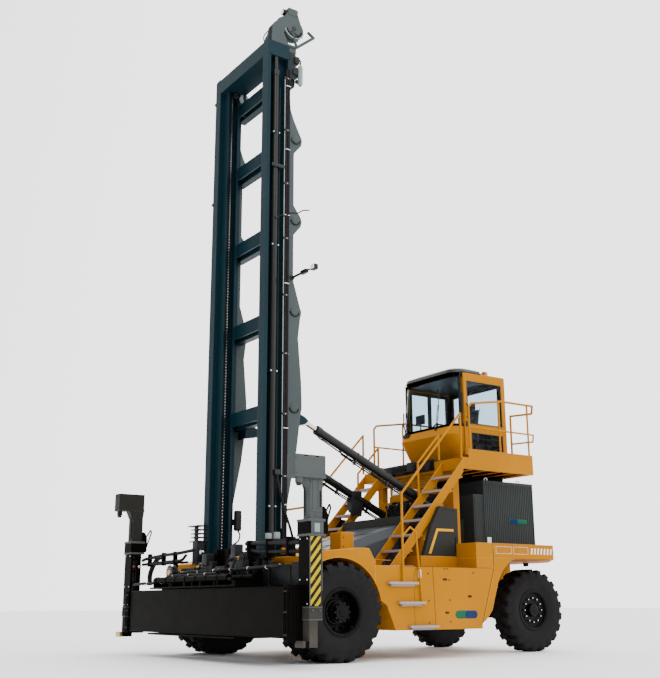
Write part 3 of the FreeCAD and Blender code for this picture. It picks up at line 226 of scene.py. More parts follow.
def rubber(name, colour, rough, dusty=(.1, .095, .085), bump_scale=90):
    f = Finish(name)
    tone = f.mix(f.noise(7, 6), colour, tinted(colour, 1.8))
    tone = f.mix(f.ramp(f.noise(30, 6), (.55, (0, 0, 0)), (.8, (.5, .5, .5))), tone, dusty)
    return f.done(tone, rough, {"Specular IOR Level": .06, "Normal": f.bump(f.noise(bump_scale, 4), .35, .003)})


def bare_metal(name, colour, rough):
    f = Finish(name)
    brushed = f.noise(60, 3, (1, 1, .05))
    return f.done(f.mix(brushed, tinted(colour, .8), colour), f.spread(brushed, 0, 1, rough * .7, rough * 1.4),
                  {"Metallic": 1})


def glass(name, tint):
    """Tinted cab glass with a faint film of dust."""
    f = Finish(name)
    return f.done(tint, f.spread(f.noise(3, 6), 0, 1, .01, .09), {"Transmission Weight": 1, "IOR": 1.12})


def fabric(name, colour):
    f = Finish(name)
    weave = f.add("TexWave", {"Scale": 220, "Distortion": 1.5, "Vector": f.place}, "Fac")
    return f.done(f.mix(weave, colour, tinted(colour, 1.7)), .9,
                  {"Sheen Weight": .3, "Normal": f.bump(weave, .4, .002)})


def stripes(name, first, second, width, slope):
    """Painted hazard stripes: bands across Y and Z, leaning by the given slope."""
    f = Finish(name)
    along = f.add("SeparateXYZ", {0: f.place}, "Y")
    wrapped = f.calc("PINGPONG", f.calc("MULTIPLY_ADD", along, slope, along.node.outputs["Z"]), width)
    tone = f.mix(f.calc("GREATER_THAN", wrapped, width / 2), first, second)
    chips = f.ramp(f.noise(50, 6), (.62, (0, 0, 0)), (.72, (1, 1, 1)))
    return f.done(f.mix(chips, tone, tinted(first, .6)), .5, {"Specular IOR Level": .05})


def lamp_glow(name, colour, strength):
    f = Finish(name)
    return f.done(f.mix(f.noise(120, 2), colour, tinted(colour, .75)), .12,
                  {"Coat Weight": .8, "Emission Color": colour, "Emission Strength": strength})


ORANGE, PALE_ORANGE = (.37, .142, 0), (.9, .5, .14)
# colour, worn colour, roughness, coat, shine, dust, height of the dust
PAINTS = {
    "body_orange": (ORANGE, PALE_ORANGE, .34, .02, .03, (.3, .13, .03), .8),
    "orange_shadow": ((.34, .095, 0), PALE_ORANGE, .45, 0, .05),
    "mast_slate": ((.004, .018, .025), (.02, .05, .065), .36, .02, .07),
    # lighter, greyer copy of the mast paint: painted light, as the mast's side faces look where the key lights them
    "plate_slate": ((.048, .06, .062), (.14, .16, .16), .5, 0, .1),
    "casting_grey": ((.2, .25, .245), (.4, .43, .42), .5, 0, .1),
    "spreader_black": ((.0022, .0019, .0013), (.009, .008, .007), .42, 0, .02, (.006, .005, .004)),
    "tower_grey": ((.058, .066, .066), (.12, .13, .13), .45, 0, .08, (.03, .028, .024)),
    "hood_grey": ((.04, .047, .052), (.1, .1, .11), .38, .03, .12),
    "cover_dark": ((.02, .02, .017), (.05, .05, .05), .45, 0, .08),
    "battery_black": ((.022, .027, .027), (.06, .07, .07), .45, 0, .12),
    "axle_black": ((.007, .006, .0055), (.03, .026, .023), .6, 0, .06, (.02, .016, .012), 1.2),
    "rim_black": ((.002, .0017, .0017), (.01, .01, .01), .28, .03, .06, (.005, .004, .004), 1),
    "tread_grey": ((.3, .24, .24), (.45, .42, .41), .6, 0, .1, (.16, .12, .1), .5),
    "cylinder_black": ((.006, .007, .0065), (.03, .03, .03), .28, .08, .2),
    "plastic_black": ((.008, .009, .01), (.03, .03, .03), .42, .03, .15),
    "seam_dark": ((.006, .005, .004), (.02, .02, .02), .7, 0, .1),
    "stripe_white": ((.8, .76, .66), (.7, .7, .7), .5, 0),
    "badge_green": ((.002, .085, .04), (.05, .16, .1), .4, 0, .05),
    "badge_blue": ((.002, .016, .075), (.05, .08, .16), .4, 0, .05),
    "stripe_yellow": ((.62, .3, 0), PALE_ORANGE, .45, 0, .05),
    "roof_gloss": ((.016, .021, .022), (.03, .03, .03), .25, .1, .4),
}
# colour, roughness, dust, scale of the bumps
RUBBERS = {
    "wire_red": ((.14, .022, .012), .5),
    "wire_green": ((.008, .05, .022), .5),
    "hose_plum": ((.013, .007, .008), .5, (.06, .045, .045), 60),
    "hose_rubber": ((.007, .007, .008), .5, (.03, .03, .03), 140),
    "tyre": ((.0075, .0075, .0078), .75, (.016, .015, .014)),
}
METALS = {
    "rod_chrome": ((.62, .64, .66), .16),
    "chain_steel": ((.035, .034, .033), .5),
    "steel_bright": ((.72, .72, .7), .3),
    "brass": ((.6, .42, .2), .35),
}
LAMPS = {"amber": ((.42, .05, .002), .06), "lamp_white": ((.85, .88, .9), .4)}
OTHERS = ((glass, {"glass": ((.56, .68, .76),)}), (fabric, {"seat_fabric": ((.02, .02, .024),)}),
          (stripes, {"hazard": ((.4, .3, 0), (.012, .008, .006), .0675, -1.2)}))
MATERIALS = {name: kind(name, *values)
             for kind, rows in ((paint, PAINTS), (rubber, RUBBERS), (bare_metal, METALS), (lamp_glow, LAMPS), *OTHERS)
             for name, values in rows.items()}
# nodes whose finish differs from that of their slot
OTHER_FINISH = {
    # the mast's side plates and head bracket take the lighter slate: painted light on their lit faces
    "mast_side_plates": "plate_slate", "head_bracket": "plate_slate", "cab_roof": "roof_gloss",
    # head_right takes a darker grey than head_left: painted shade on the far tower head
    # the housing is near-black: painted shade of the recess behind the bonnet
    "side_covers": "cover_dark", "head_left": "tower_grey", "head_right": "cover_dark", "housing": "cover_dark",
    "carriage": "spreader_black", "telescope_cylinders": "spreader_black", "lift_rods": "cylinder_black"}


def dress_cad_nodes():
    """Gives each node of the frame the finish of its own slot."""
    slots = {part["node"]: part["material_slot"] for part in frame["record"]["subparts"]}
    for name, obj in NODES.items():
        obj.data.materials.clear()
        obj.data.materials.append(MATERIALS[OTHER_FINISH.get(name, slots[name])])


# ---- mesh building ----------------------------------------------------------------------
def add_mesh(name, bm, materials):
    """Turns built geometry into an object at its place in the frame."""
    mesh = bpy.data.meshes.new(name)
    bm.to_mesh(mesh)
    bm.free()
    for material in materials:
        mesh.materials.append(MATERIALS[material])
    mesh.transform(Matrix.Translation((0, AXLE_Y, 0)))
    return put(name, mesh)


class Piece:
    """A mesh of plates, tubes and turned shapes, in metres, that rides on a body.

    A shape that names no material has the piece's own; side -1 puts boxes on the machine's right.
    """

    def __init__(self, name, body, slot, side=1):
        self.name, self.body, self.slot, self.side = name, body, slot, side
        self.bm = bmesh.new()
        self.slots = []

    def paint(self, faces, material):
        material = material or self.slot
        if material not in self.slots:
            self.slots.append(material)
        for face in faces:
            face.material_index = self.slots.index(material)

    def skin(self, rings, material=None, loop=False, caps=(True, True)):
        """Joins rings of points by side faces and closes the ends; a ring of one point is a tip."""
        size = max(len(ring) for ring in rings)
        verts = [[self.bm.verts.new(p) for p in ring] * (size // len(ring)) for ring in rings]
        ends = ((rings[0], verts[0][::-1], caps[0]), (rings[-1], verts[-1], caps[1]))
        faces = [self.bm.faces.new(end) for points, end, cap in ends if cap and not loop and len(points) > 1]
        for a, b in zip(verts, verts[1:] + verts[:1] * loop):
            for k in range(size):
                n = (k + 1) % size
                faces.append(self.bm.faces.new(list(dict.fromkeys((a[k], a[n], b[n], b[k])))))
        self.paint(faces, material)
        return {v for ring in verts for v in ring}

    def prism(self, outline, axis, low, high, bevel=0, material=None):
        """A plate whose outline lies across an axis ("x", "y" or "z"), between two places on it."""
        def place(a, b, c):
            return {"x": (c, a, b), "y": (a, c, b), "z": (a, b, c)}[axis]
        self.soften(self.skin([[place(a, b, c) for a, b in outline] for c in (low, high)], material), bevel, material)

    def soften(self, verts, bevel, material):
        """Bevels every edge of a new solid and paints it."""
        faces = {f for v in verts for f in v.link_faces}
        self.paint(faces, material)
        if bevel:
            edges = list({e for f in faces for e in f.edges})
            made = bmesh.ops.bevel(self.bm, geom=edges, offset=bevel, segments=2, affect="EDGES", profile=.7)
            self.paint({f for v in made["verts"] for f in v.link_faces}, material)

    def box(self, x0, x1, y0, y1, z0, z1, bevel=0, material=None):
        low, high = (Vector(corner) for corner in zip(sorted((self.side * x0, self.side * x1)), (y0, y1), (z0, z1)))
        verts = bmesh.ops.create_cube(self.bm, size=1)["verts"]
        for v in verts:
            v.co = Vector((low[i] + (v.co[i] + .5) * (high[i] - low[i]) for i in range(3)))
        self.soften(verts, bevel, material)

    def boxes(self, bevel, material, *limits):
        for row in limits:
            self.box(*row, bevel, material)

    def tube(self, points, radius, sides=10, smooth=0, material=None, closed=False):
        """A round tube through points; smooth rounds the corners with that many extra points each."""
        path = [Vector(p) for p in points]
        if smooth:
            path = rounded_path(path, smooth)
        rings = []
        up = None
        for i, p in enumerate(path):
            before = path[i - 1] if i or closed else p
            after = path[(i + 1) % len(path)] if i < len(path) - 1 or closed else p
            run = (after - before).normalized()
            up = run.orthogonal().normalized() if up is None else (up - run * up.dot(run)).normalized()
            side = run.cross(up)
            size = radius(i / (len(path) - 1)) if callable(radius) else radius
            rings.append([p + (up * math.cos(a) + side * math.sin(a)) * size for a in circle(sides)])
        self.skin(rings, material, closed)

    def hose(self, points, radius, sides=10, smooth=4, material="hose_rubber"):
        self.tube(points, radius, sides, smooth, material)

    def lathe(self, profile, centre, axis, sides=24, material=None, close=True):
        """Turns a profile about an axis; it lists distances along the axis and radii in turn."""
        axis = Vector(axis).normalized()
        across = axis.orthogonal().normalized()
        third = axis.cross(across)
        rings = []
        for along, radius in zip(profile[::2], profile[1::2]):
            middle = Vector(centre) + axis * along
            rings.append([middle + (across * math.cos(a) + third * math.sin(a)) * radius for a in circle(sides)]
                         if radius > 0 else [middle])
        tipped = min(profile[1], profile[-1]) <= 0
        self.skin(rings, material, close and not tipped)

    def bolts(self, spots, axis, radius, height, material="steel_bright"):
        """Hexagon heads, chamfered at the top, that stand on a surface."""
        for spot in spots:
            self.lathe((0, radius, height * .7, radius, height, radius * .8), spot, axis, 6, material, False)

    def line(self, points, axis, at, width=.006, material="seam_dark"):
        """A thin line on a face across X, through (y, z) points, or across Y, through (x, z) points."""
        for a, b in zip(points, points[1:]):
            a, b = Vector(a), Vector(b)
            side = (b - a).normalized().orthogonal() * width / 2
            self.prism([a + side, b + side, b - side, a - side], axis, at - .0015, at + .0015, 0, material)

    def grid(self, rows, thickness, material=None):
        """A sheet through rows of points, thickened inwards along its normals."""
        verts = [[self.bm.verts.new(p) for p in row] for row in rows]
        faces = []
        for a, b in zip(verts, verts[1:]):
            for k in range(len(a) - 1):
                faces.append(self.bm.faces.new((a[k], a[k + 1], b[k + 1], b[k])))
        self.paint(faces, material)
        made = bmesh.ops.solidify(self.bm, geom=faces, thickness=thickness)
        self.paint([g for g in made["geom"] if isinstance(g, bmesh.types.BMFace)], material)

    def mirror(self):
        """Adds the mirror image across the machine's centre plane."""
        made = bmesh.ops.duplicate(self.bm, geom=self.bm.verts[:] + self.bm.edges[:] + self.bm.faces[:])["geom"]
        for v in (g for g in made if isinstance(g, bmesh.types.BMVert)):
            v.co.x = -v.co.x

    def done(self, *replaced, sharp=32):
        bmesh.ops.recalc_face_normals(self.bm, faces=self.bm.faces)
        bmesh.ops.triangulate(self.bm, faces=[f for f in self.bm.faces if len(f.verts) > 6])
        limit = math.radians(sharp)
        for edge in self.bm.edges:
            edge.smooth = len(edge.link_faces) == 2 and edge.calc_face_angle(0) < limit
        for face in self.bm.faces:
            face.smooth = True
        obj = add_mesh(self.name, self.bm, self.slots)
        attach(obj, self.body)
        if replaced:
            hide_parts(*replaced)


def rounded_path(path, count):
    """The path with each inner corner replaced by a short curve."""
    out = [path[0]]
    for before, corner, after in zip(path, path[1:], path[2:]):
        reach = .35 * min((corner - before).length, (after - corner).length)
        a = corner + (before - corner).normalized() * reach
        b = corner + (after - corner).normalized() * reach
        out += [a * (1 - t) ** 2 + corner * 2 * t * (1 - t) + b * t ** 2 for t in steps(0, 1 / count, count + 1)]
    return out + [path[-1]]


def ring(centre, across, up, radius, angles):
    """Points about a centre, in the plane of two directions."""
    return [Vector(centre) + (across * math.cos(a) + up * math.sin(a)) * radius for a in angles]


def frame_about(p, axis, at, deep, opening, width, bevel=.003, material=None):
    """A flat frame round an opening in a wall across an axis, outside the opening's edge by its width."""
    a0, a1, z0, z1 = opening
    for a, b, c, d in ((a0 - width, a1 + width, z0 - width, z0), (a0 - width, a1 + width, z1, z1 + width),
                       (a0 - width, a0, z0, z1), (a1, a1 + width, z0, z1)):
        across = (at, at + deep, a, b) if axis == "x" else (a, b, at, at + deep)
        p.box(*across, c, d, bevel, material)


def pill(y0, y1, z0, z1):
    """Outline of a bar with round ends, in (y, z)."""
    r, mid = (z1 - z0) / 2, (z0 + z1) / 2
    turn = [math.pi * k / 6 for k in range(7)]
    return ([(y1 - r + r * math.sin(a), mid - r * math.cos(a)) for a in turn]
            + [(y0 + r - r * math.sin(a), mid + r * math.cos(a)) for a in turn])


# ---- wheels -----------------------------------------------------------------------------
LUGS = 21                      # on each shoulder
LUG_ARC = .3 * TAU / LUGS
LUG_SECTION = (-1, -.8, .8, 1)
TYRE_HALF = .1875
# (share of the half width, radius) from bead to crown on a 14.00-24 tyre
FLANK = ((.7, .33), (.8, .342), (.83, .352), (.82, .362), (.92, .402), (.98, .455), (1, .51),
         (.995, .545), (.975, .556), (.985, .566), (.955, .61), (.88, .634), (.55, .646), (0, .649))
# a lug's stations from flank to middle: share of the half width, its root's radius and its top's
LUG_LINE = ((1, .556, .56), (.985, .585, .628), (.93, .62, .67), (.84, .636, .684),
            (.45, .646, .685), (.05, .648, .685))
RIM_FLANGE = (.126, .304, .14, .3, .154, .308, .158, .322, .153, .336, .146, .337, .146, .326,
              .128, .326)


def add_tyre(p, centre):
    shares = [(share, r) for share, r in FLANK] + [(-share, r) for share, r in FLANK[-2::-1]]
    p.lathe([v for share, r in shares for v in (share * TYRE_HALF, r)], centre, X, 84)
    for side, start in ((side, a) for side in (1, -1) for a in circle(LUGS, TAU * (.25 + .25 * side) / LUGS)):
        p.skin([[centre + X * side * share * TYRE_HALF + (Y * math.cos(a) + Z * math.sin(a)) * r
                 for a, r in zip((start - .1 * (1 - share) + arc * LUG_ARC for arc in LUG_SECTION),
                                 (root, top, top, root))]
                for share, root, top in LUG_LINE])


def wheel_faces(name):
    """Centres of the tyres on one hub, outermost first, and the direction outwards."""
    box = Box(name)
    out = 1 if box.middle.x > 0 else -1
    ends = (box.x1, box.x0)[::out]
    centres = [Vector((ends[0] - out * TYRE_HALF, *box.middle.yz))]
    if box.x1 - box.x0 > 3 * TYRE_HALF:
        centres.append(Vector((ends[1] + out * TYRE_HALF, *box.middle.yz)))
    return centres, out


def make_tyres():
    for name, body in (("front_tyres_left", "front_wheel_left"), ("front_tyres_right", "front_wheel_right"),
                       ("rear_tyre_left", "rear_wheel_left"), ("rear_tyre_right", "rear_wheel_right")):
        for centre, place in zip(wheel_faces(name)[0], ("_outer", "_inner")):
            p = Piece(name + place, body, "tyre")
            add_tyre(p, centre)
            p.done(name, sharp=40)


def make_rim_trim():
    """Rolled flanges, lock rings, studs with nuts, and the hubs' faces."""
    for side in ("left", "right"):
        centres, out = wheel_faces("front_tyres_" + side)
        centre, outwards = centres[0], X * out
        p = Piece("front_rim_trim_" + side, "front_wheel_" + side, "rim_black")
        for k, middle in enumerate(centres):
            p.lathe(RIM_FLANGE, middle, outwards * (-1) ** k, 56)
        disc = centre - outwards * .052
        p.lathe((0, .284, .012, .28, .012, .262, 0, .258), disc, outwards, 48)
        p.lathe((0, .188, .045, .18, .052, .168, .052, .148, 0, .148), disc, outwards, 40)
        p.bolts(ring(disc + outwards * .022, Y, Z, .235, circle(12)), outwards, .025, .022, None)
        p.bolts(ring(disc + outwards * .05, Y, Z, .16, circle(16, .1)), outwards, .009, .008, "cylinder_black")
        cap = Box("front_rims_" + side)
        end = Vector((cap.x1 if out > 0 else cap.x0, *centre.yz))
        p.lathe((0, .118, .012, .112, .012, .062, .022, .055, .022, 0), end - outwards * .004, outwards, 32)
        p.bolts(ring(end, Y, Z, .13, circle(10)), outwards, .01, .009, "cylinder_black")
        p.tube([centre + Vector((out * .07, .2, -.2)), centre + Vector((out * .12, .215, -.215))], .007, 8,
               material="brass")
        p.done()
        centres, out = wheel_faces("rear_tyre_" + side)
        p = Piece("rear_rim_trim_" + side, "rear_wheel_" + side, "rim_black")
        for face in (out, -out):
            p.lathe(RIM_FLANGE, centres[0], X * face, 56)
        disc = centres[0] + outwards * .103
        p.lathe((0, .284, .014, .278, .014, .262, 0, .256), disc, outwards, 48)
        p.lathe((0, .238, .008, .236, .01, .168, 0, .162), disc, outwards, 48)
        nuts = ring(disc + outwards * .006, Y, Z, .2, circle(12))
        p.bolts(nuts, outwards, .02, .026, "chain_steel")
        for spot in nuts:
            p.tube([spot, spot + outwards * .04], .009, 8, material="steel_bright")
        p.lathe((0, .112, .03, .108, .062, .092, .066, .05, .066, 0), disc, outwards, 32)
        p.bolts(ring(disc + outwards * .06, Y, Z, .08, circle(8)), outwards, .008, .008, "cylinder_black")
        p.done()


# ---- body -------------------------------------------------------------------------------
FENDER_EDGE = .76              # rolled edge of the front arch
WHEEL_Z = .685
LEDGE = 1.345
DECK_LINES = (1.575, 1.685)    # heights of the outlines painted near the tail
HOOD_FOOT, HOOD_HEAD = 1.56, 2.06


def rectangle(y0, y1, z0, z1):
    return [(y0, z0), (y1, z0), (y1, z1), (y0, z1)]


def make_side_trim():
    """Seams, slots, bolts and plates on both flanks."""
    x = Box("side_bodies").x1
    p = Piece("side_trim", "chassis", "body_orange")
    for points, width, material in (
            ([(1.13, LEDGE - .004), (2.97, LEDGE - .004)], .006, "seam_dark"),
            ([(2.72, .5), (3.016, LEDGE), (3.016, 1.73)], .01, "seam_dark"),
            ([(2.735, .5), (3.031, LEDGE), (3.031, 1.73)], .006, "stripe_yellow"),
            ([(1.42, LEDGE), (1.36, 1.2), (1.36, .46)], .005, "seam_dark"),
            ([(1.73, LEDGE), (1.765, .47)], .007, "seam_dark")):
        p.line(points, "x", x, width, material)
    for y, z in ((1.93, 1.155), (2.43, .905), (1.955, .665)):
        p.prism(pill(y, y + .085, z - .016, z + .016), "x", x - .004, x + .004, .001, "seam_dark")
        p.tube([(x + .006, y + .012, z), (x + .006, y + .073, z)], .005, 6, material="cylinder_black")
    p.bolts([(x - .002, y, z) for y, z in ((2.06, 1.15), (2.06, .85), (2.06, .53), (1.64, 1.24), (1.64, .84),
                                           (1.64, .52), (2.56, 1.26), (1.96, 1.315), (2.02, 1.315))],
            X, .014, .008, "cover_dark")
    p.prism(pill(2.16, 2.62, .575, .695), "x", x - .002, x + .003, .001, "badge_green")
    p.prism(pill(2.36, 2.618, .577, .693), "x", x + .002, x + .005, .001, "badge_blue")
    p.prism(rectangle(1.44, 1.5, 1.17, 1.3), "x", x - .002, x + .003, .0015, "stripe_white")
    edge = ring((x - .004, 0, WHEEL_Z), Y, Z, FENDER_EDGE, steps(math.pi / 36, math.pi / 36, 33))
    for a, b in zip(edge, edge[1:]):
        if min(a.z, b.z) >= .9:
            p.tube([a, b], .008, 8)
    p.mirror()
    p.done()


def make_tail_trim():
    """Flank outlines, the slanted bars near the tail, lamps and the deck's rear edge."""
    deck = Box("rear_deck")
    x, y, (z0, z1) = deck.x1, deck.y1, DECK_LINES
    p = Piece("tail_trim", "chassis", "body_orange")
    for y0, y1 in ((3.08, 3.42), (3.47, 3.8)):
        p.line(rectangle(y0, y1, z0, z1) + [(y0, z0)], "x", x, .005, "stripe_white")
        for z in steps(z0 + .028, .028, 3):
            p.line([(y0 + .03, z), (y1 - .03, z)], "x", x, .007, "orange_shadow")
    for a in steps(3.86, .075, 7):
        p.prism([(a, z0), (a + .034, z0), (a + .055, z1 - .01), (a + .021, z1 - .01)], "x", x - .002,
                x + .003, .001, "stripe_white")
    for z, width in ((1.506, .006), (deck.z1 - .02, .004)):
        p.line([(2.66, z), (4.38, z)], "x", x, width, "orange_shadow")
    for z, material in ((1.58, "wire_red"), (1.64, "amber")):
        p.lathe((0, .026, .014, .026, .022, .016, .024, 0), (1.05, y - .001, z), Y, 20, material)
    p.box(.93, 1.17, y - .002, y + .004, 1.545, 1.675, .003, "seam_dark")
    p.bolts([(1.5, 4.83, 1.52), (1.75, 4.58, 1.52)], X + Y, .014, .01, "cover_dark")
    p.mirror()
    for z in steps(1.15, .035, 9):
        p.box(-.22, .22, y - .002, y + .006, z, z + .014, .003, "orange_shadow")
    p.lathe((0, .018, .2, .018, .205, .034, .222, .034, .226, .014),
            (0, Box("counterweight").y1 - .06, .93), Z, 18, "steel_bright", False)
    p.done()


def make_rear_underside():
    """Painted shade under the deck over the rear arch: a thin sheet in shaded orange, with bolts and a dark block."""
    deck = Box("rear_deck")
    y, z = deck.y1, deck.z0
    p = Piece("rear_arch_painted_shade", "chassis", "body_orange")
    outline = [(1.93, 3.42), (1.93, y - .7), (1.24, y - .03), (.3, y - .03), (.3, 3.42)]
    # the shaded-orange sheet is painted shade on the deck's underside
    p.prism(outline, "z", z - .012, z - .001, .002, "orange_shadow")
    p.bolts([(x, a, z - .01) for x, a in ((1.6, 3.6), (1.6, 4.1), (1, 4.5))], -Z, .014, .01, "cover_dark")
    p.box(.9, .96, y - .3, y - .22, z - .07, z - .002, .008, "seam_dark")
    p.mirror()
    p.done()


def tread_plate(p, x0, x1, y0, y1, z0, z1, material="tread_grey", pitch=.045):
    """A raised-grip plate: a bevelled sheet with rows of small oval studs."""
    p.box(x0, x1, y0, y1, z0, z1, .002, material)
    nx, ny = max(1, int((x1 - x0) / pitch)), max(2, int((y1 - y0) / pitch))
    for i in range(nx):
        for j in range(ny):
            mid = Vector((x0 + (i + .5) * (x1 - x0) / nx, y0 + (j + .5) * (y1 - y0) / ny, z1))
            half = Vector((.011, .011 * (-1) ** (i + j + 1), 0))
            side = Vector((-half.y, half.x, 0)).normalized() * .004
            oval = [-half - side, half - side, half + side, side - half]
            p.skin([[mid + v for v in oval], [mid + v * .6 + Z * .003 for v in oval]], material, caps=(False, True))


def make_treads():
    """Grip plates on the ledge, the side steps, the stairs and the fenders."""
    p = Piece("tread_plates", "chassis", "tread_grey")
    side, end = Box("side_bodies").x1, Box("side_steps").x1 - .003
    tread_plate(p, 1.5, side - .01, .98, 1.38, LEDGE + .001, LEDGE + .006)
    tread_plate(p, 1.52, side - .02, .66, .95, 1.42, 1.425, "body_orange")
    for y0, y1, z in ((.837, 1.397, 1.107), (1.026, 1.523, .823), (1.223, 1.764, .481)):
        tread_plate(p, side + .004, end, y0 + .006, y1 - .006, z, z + .004)
        p.box(end, end + .004, y0 + .004, y1 - .004, z - .032, z + .003, .001)
    x1 = Box("stairs").x1
    foot, head = (1.62, 1.55), (2.975, 3.06)
    for z in steps(1.62, .25, 6):
        y = foot[0] + (z - foot[1]) * (head[0] - foot[0]) / (head[1] - foot[1])
        tread_plate(p, .876, x1 - .024, y - .093, y + .148, z, z + .003)
        p.box(.874, x1 - .022, y - .099, y - .093, z - .036, z + .004, .0015)
        for x, out in ((x1, X), (.85, -X)):
            p.bolts([(x, y - .03, z - .05), (x, y + .06, z - .05)], out, .01, .007, "body_orange")
    p.mirror()
    p.done()


def make_hood_trim():
    """Panel gaps, louvres and latches of the bonnet, and the cabinet behind it, near-black as painted shade of its
    recess.
    """
    hood = Box("hood")
    slope = (HOOD_HEAD - HOOD_FOOT) / (hood.y1 - hood.y0)
    p = Piece("hood_trim", "chassis", "hood_grey")
    x = hood.x1 + .001
    for y in (.86, 1.3, 1.72):
        p.line([(y, 1.36), (y, HOOD_FOOT + slope * (y - hood.y0) - .14)], "x", x)
    p.boxes(.003, "seam_dark", *((x, x + .006, y, y + .02, 1.4, 1.52) for y in steps(.93, .045, 7)))
    p.box(x, x + .02, 1.48, 1.6, 1.45, 1.475, .004, "cylinder_black")
    p.mirror()
    for y in (.95, 1.55):
        z = HOOD_FOOT + slope * (y - hood.y0) + .001
        p.tube([(-.7, y, z), (.7, y, z)], .004, 6, material="seam_dark")
    for x in (-.35, .35):
        p.tube([(x, .48, 1.573), (x, 2.04, 2.057)], .004, 6, material="seam_dark")
    p.done()
    house = Box("housing")
    p = Piece("cabinet_trim", "chassis", "battery_black")
    x, z = house.x1 + .002, house.z1
    for y in (2.18, 2.4, 2.62, 2.86, 3.1):
        p.line([(y, 1.76), (y, z - .04)], "x", x)
    p.line([(2.06, z - .03), (3.4, z - .03)], "x", x)
    p.mirror()
    p.box(house.x0 + .02, house.x1 - .02, house.y0 + .02, house.y1 - .02, z, z + .006, .003, "cover_dark")
    p.done()


def make_cover_trim():
    """The leaning side covers' yellow corner stripe and fasteners; their plates are bare."""
    x = Box("side_covers").x1 + .0005
    p = Piece("cover_trim", "chassis", "hood_grey")
    stripe = [(2.06, 1.565), (2.24, 1.965), (2.6, 1.965), (2.6, 1.925), (2.27, 1.925), (2.115, 1.565)]
    p.prism(stripe, "x", x - .002, x + .003, .001, "stripe_yellow")
    p.prism(rectangle(2.625, 2.66, 1.6, 1.84), "x", x - .002, x + .002, .001, "seam_dark")
    p.bolts([(x, y, z) for y, z in ((2.04, 1.57), (2.2, 1.94), (2.38, 2.26), (2.65, 2.26), (2.65, 1.76),
                                    (2.6, 1.57))], X, .011, .006, "cylinder_black")
    p.line([(2.36, 2.28), (2.66, 2.255)], "x", x, .005)
    p.mirror()
    p.done()


def make_battery_trim():
    """Pressed ribs round the battery's cabinet, its lid, lifting eyes, locks and blank plates."""
    box, front = Box("battery"), 3.7
    x, y1 = box.x1, box.y1

    def add_ribs(start, end, count, face, axis):
        step = (end - start) / count
        for a in steps(start + step / 2, step, count):
            rib = [(a + da, face + out) for da, out in ((-.014, -.001), (-.007, .009), (.007, .009), (.014, -.001))]
            p.prism([v if axis == "y" else v[::-1] for v in rib], "z", box.z0 + .07, box.z1 - .06)

    p = Piece("battery_ribs", "chassis", "battery_black")
    add_ribs(front + .03, y1 - .03, 26, x, "x")
    p.mirror()
    add_ribs(.04 - x, x - .04, 44, y1, "y")
    p.done()
    p = Piece("battery_trim", "chassis", "battery_black")
    p.boxes(.005, None, *((x - .012, x + .012, y - .004, y + .018, box.z0, box.z1) for y in (front, y1 - .012)))
    face = x + .01
    p.prism(pill(4.28, 4.72, 2.155, 2.235), "x", face, face + .004, .001, "badge_green")
    p.box(face, face + .004, 3.74, 3.83, 1.8, 1.9, .001, "stripe_white")
    for y in steps(3.5, .035, 5):
        p.line([(y, 1.8), (y, 2.56)], "x", x + .001, .008, "cover_dark")
    p.line(rectangle(3.48, 3.66, 1.78, 2.59) + [(3.48, 1.78)], "x", x + .001)
    p.mirror()
    for start in (face, -face - .004):
        p.prism(pill(4.3, 4.5, 2.157, 2.233), "x", start, start + .005, .001, "badge_blue")
    p.boxes(.006, None, *((-face, face, front - .006, y1 + .01, z, z + .05) for z in (box.z0, box.z1 - .05)))
    for a, y in ((a, y) for a in (-.9, .9) for y in (3.9, 4.7)):
        p.tube([(a, y + dy, box.z1 + dz) for dy, dz in ((0, 0), (0, .07), (.07, .07), (.07, 0))], .01, 8, 3,
               "steel_bright")
    for a in (-.7, -.02, .66):
        p.line([(a, 1.85), (a, 2.8)], "y", y1 + .012, .008)
    p.done()


def make_fender_trim():
    """Front fenders: rolled edges, brackets of the stair foot, the small boxes' lids and a lamp."""
    x, box = Box("front_fenders").x1, Box("side_boxes")
    y0, y1 = box.y0 + .02, box.y1 - .02
    p = Piece("fender_trim", "chassis", "body_orange")
    p.line([(.31, 1.582), (.31, 1.44)], "x", x + .0005, .005, "orange_shadow")
    edge = ((-.64, 1.45), (-.325, 1.523), (.307, 1.582), (.524, 1.587), (.6, 1.45))
    p.tube([(x - .006, y, z - .004) for y, z in edge], .009, 8, 2)
    p.box(1.18, 1.2, -.5, .3, 1.49, 1.6, .004, "orange_shadow")
    p.box(.862, box.x1 - .002, y0 - .018, y1 + .018, box.z1, box.z1 + .012, .005)
    z0, z1 = 1.6, box.z1 - .03
    p.line(rectangle(y0, y1, z0, z1) + [(y0, z0)], "x", box.x1 + .0005, .005, "orange_shadow")
    p.bolts([(box.x1, y0 + .03, z) for z in (1.65, 1.79)], X, .012, .008, "cylinder_black")
    p.lathe((0, .07, .03, .074, .05, .07, .052, 0), (1.45, -.642, 1.3), -Y, 28, "cover_dark")
    p.lathe((0, .06, .004, .058, .01, 0), (1.45, -.692, 1.3), -Y, 28, "lamp_white")
    p.mirror()
    p.done()


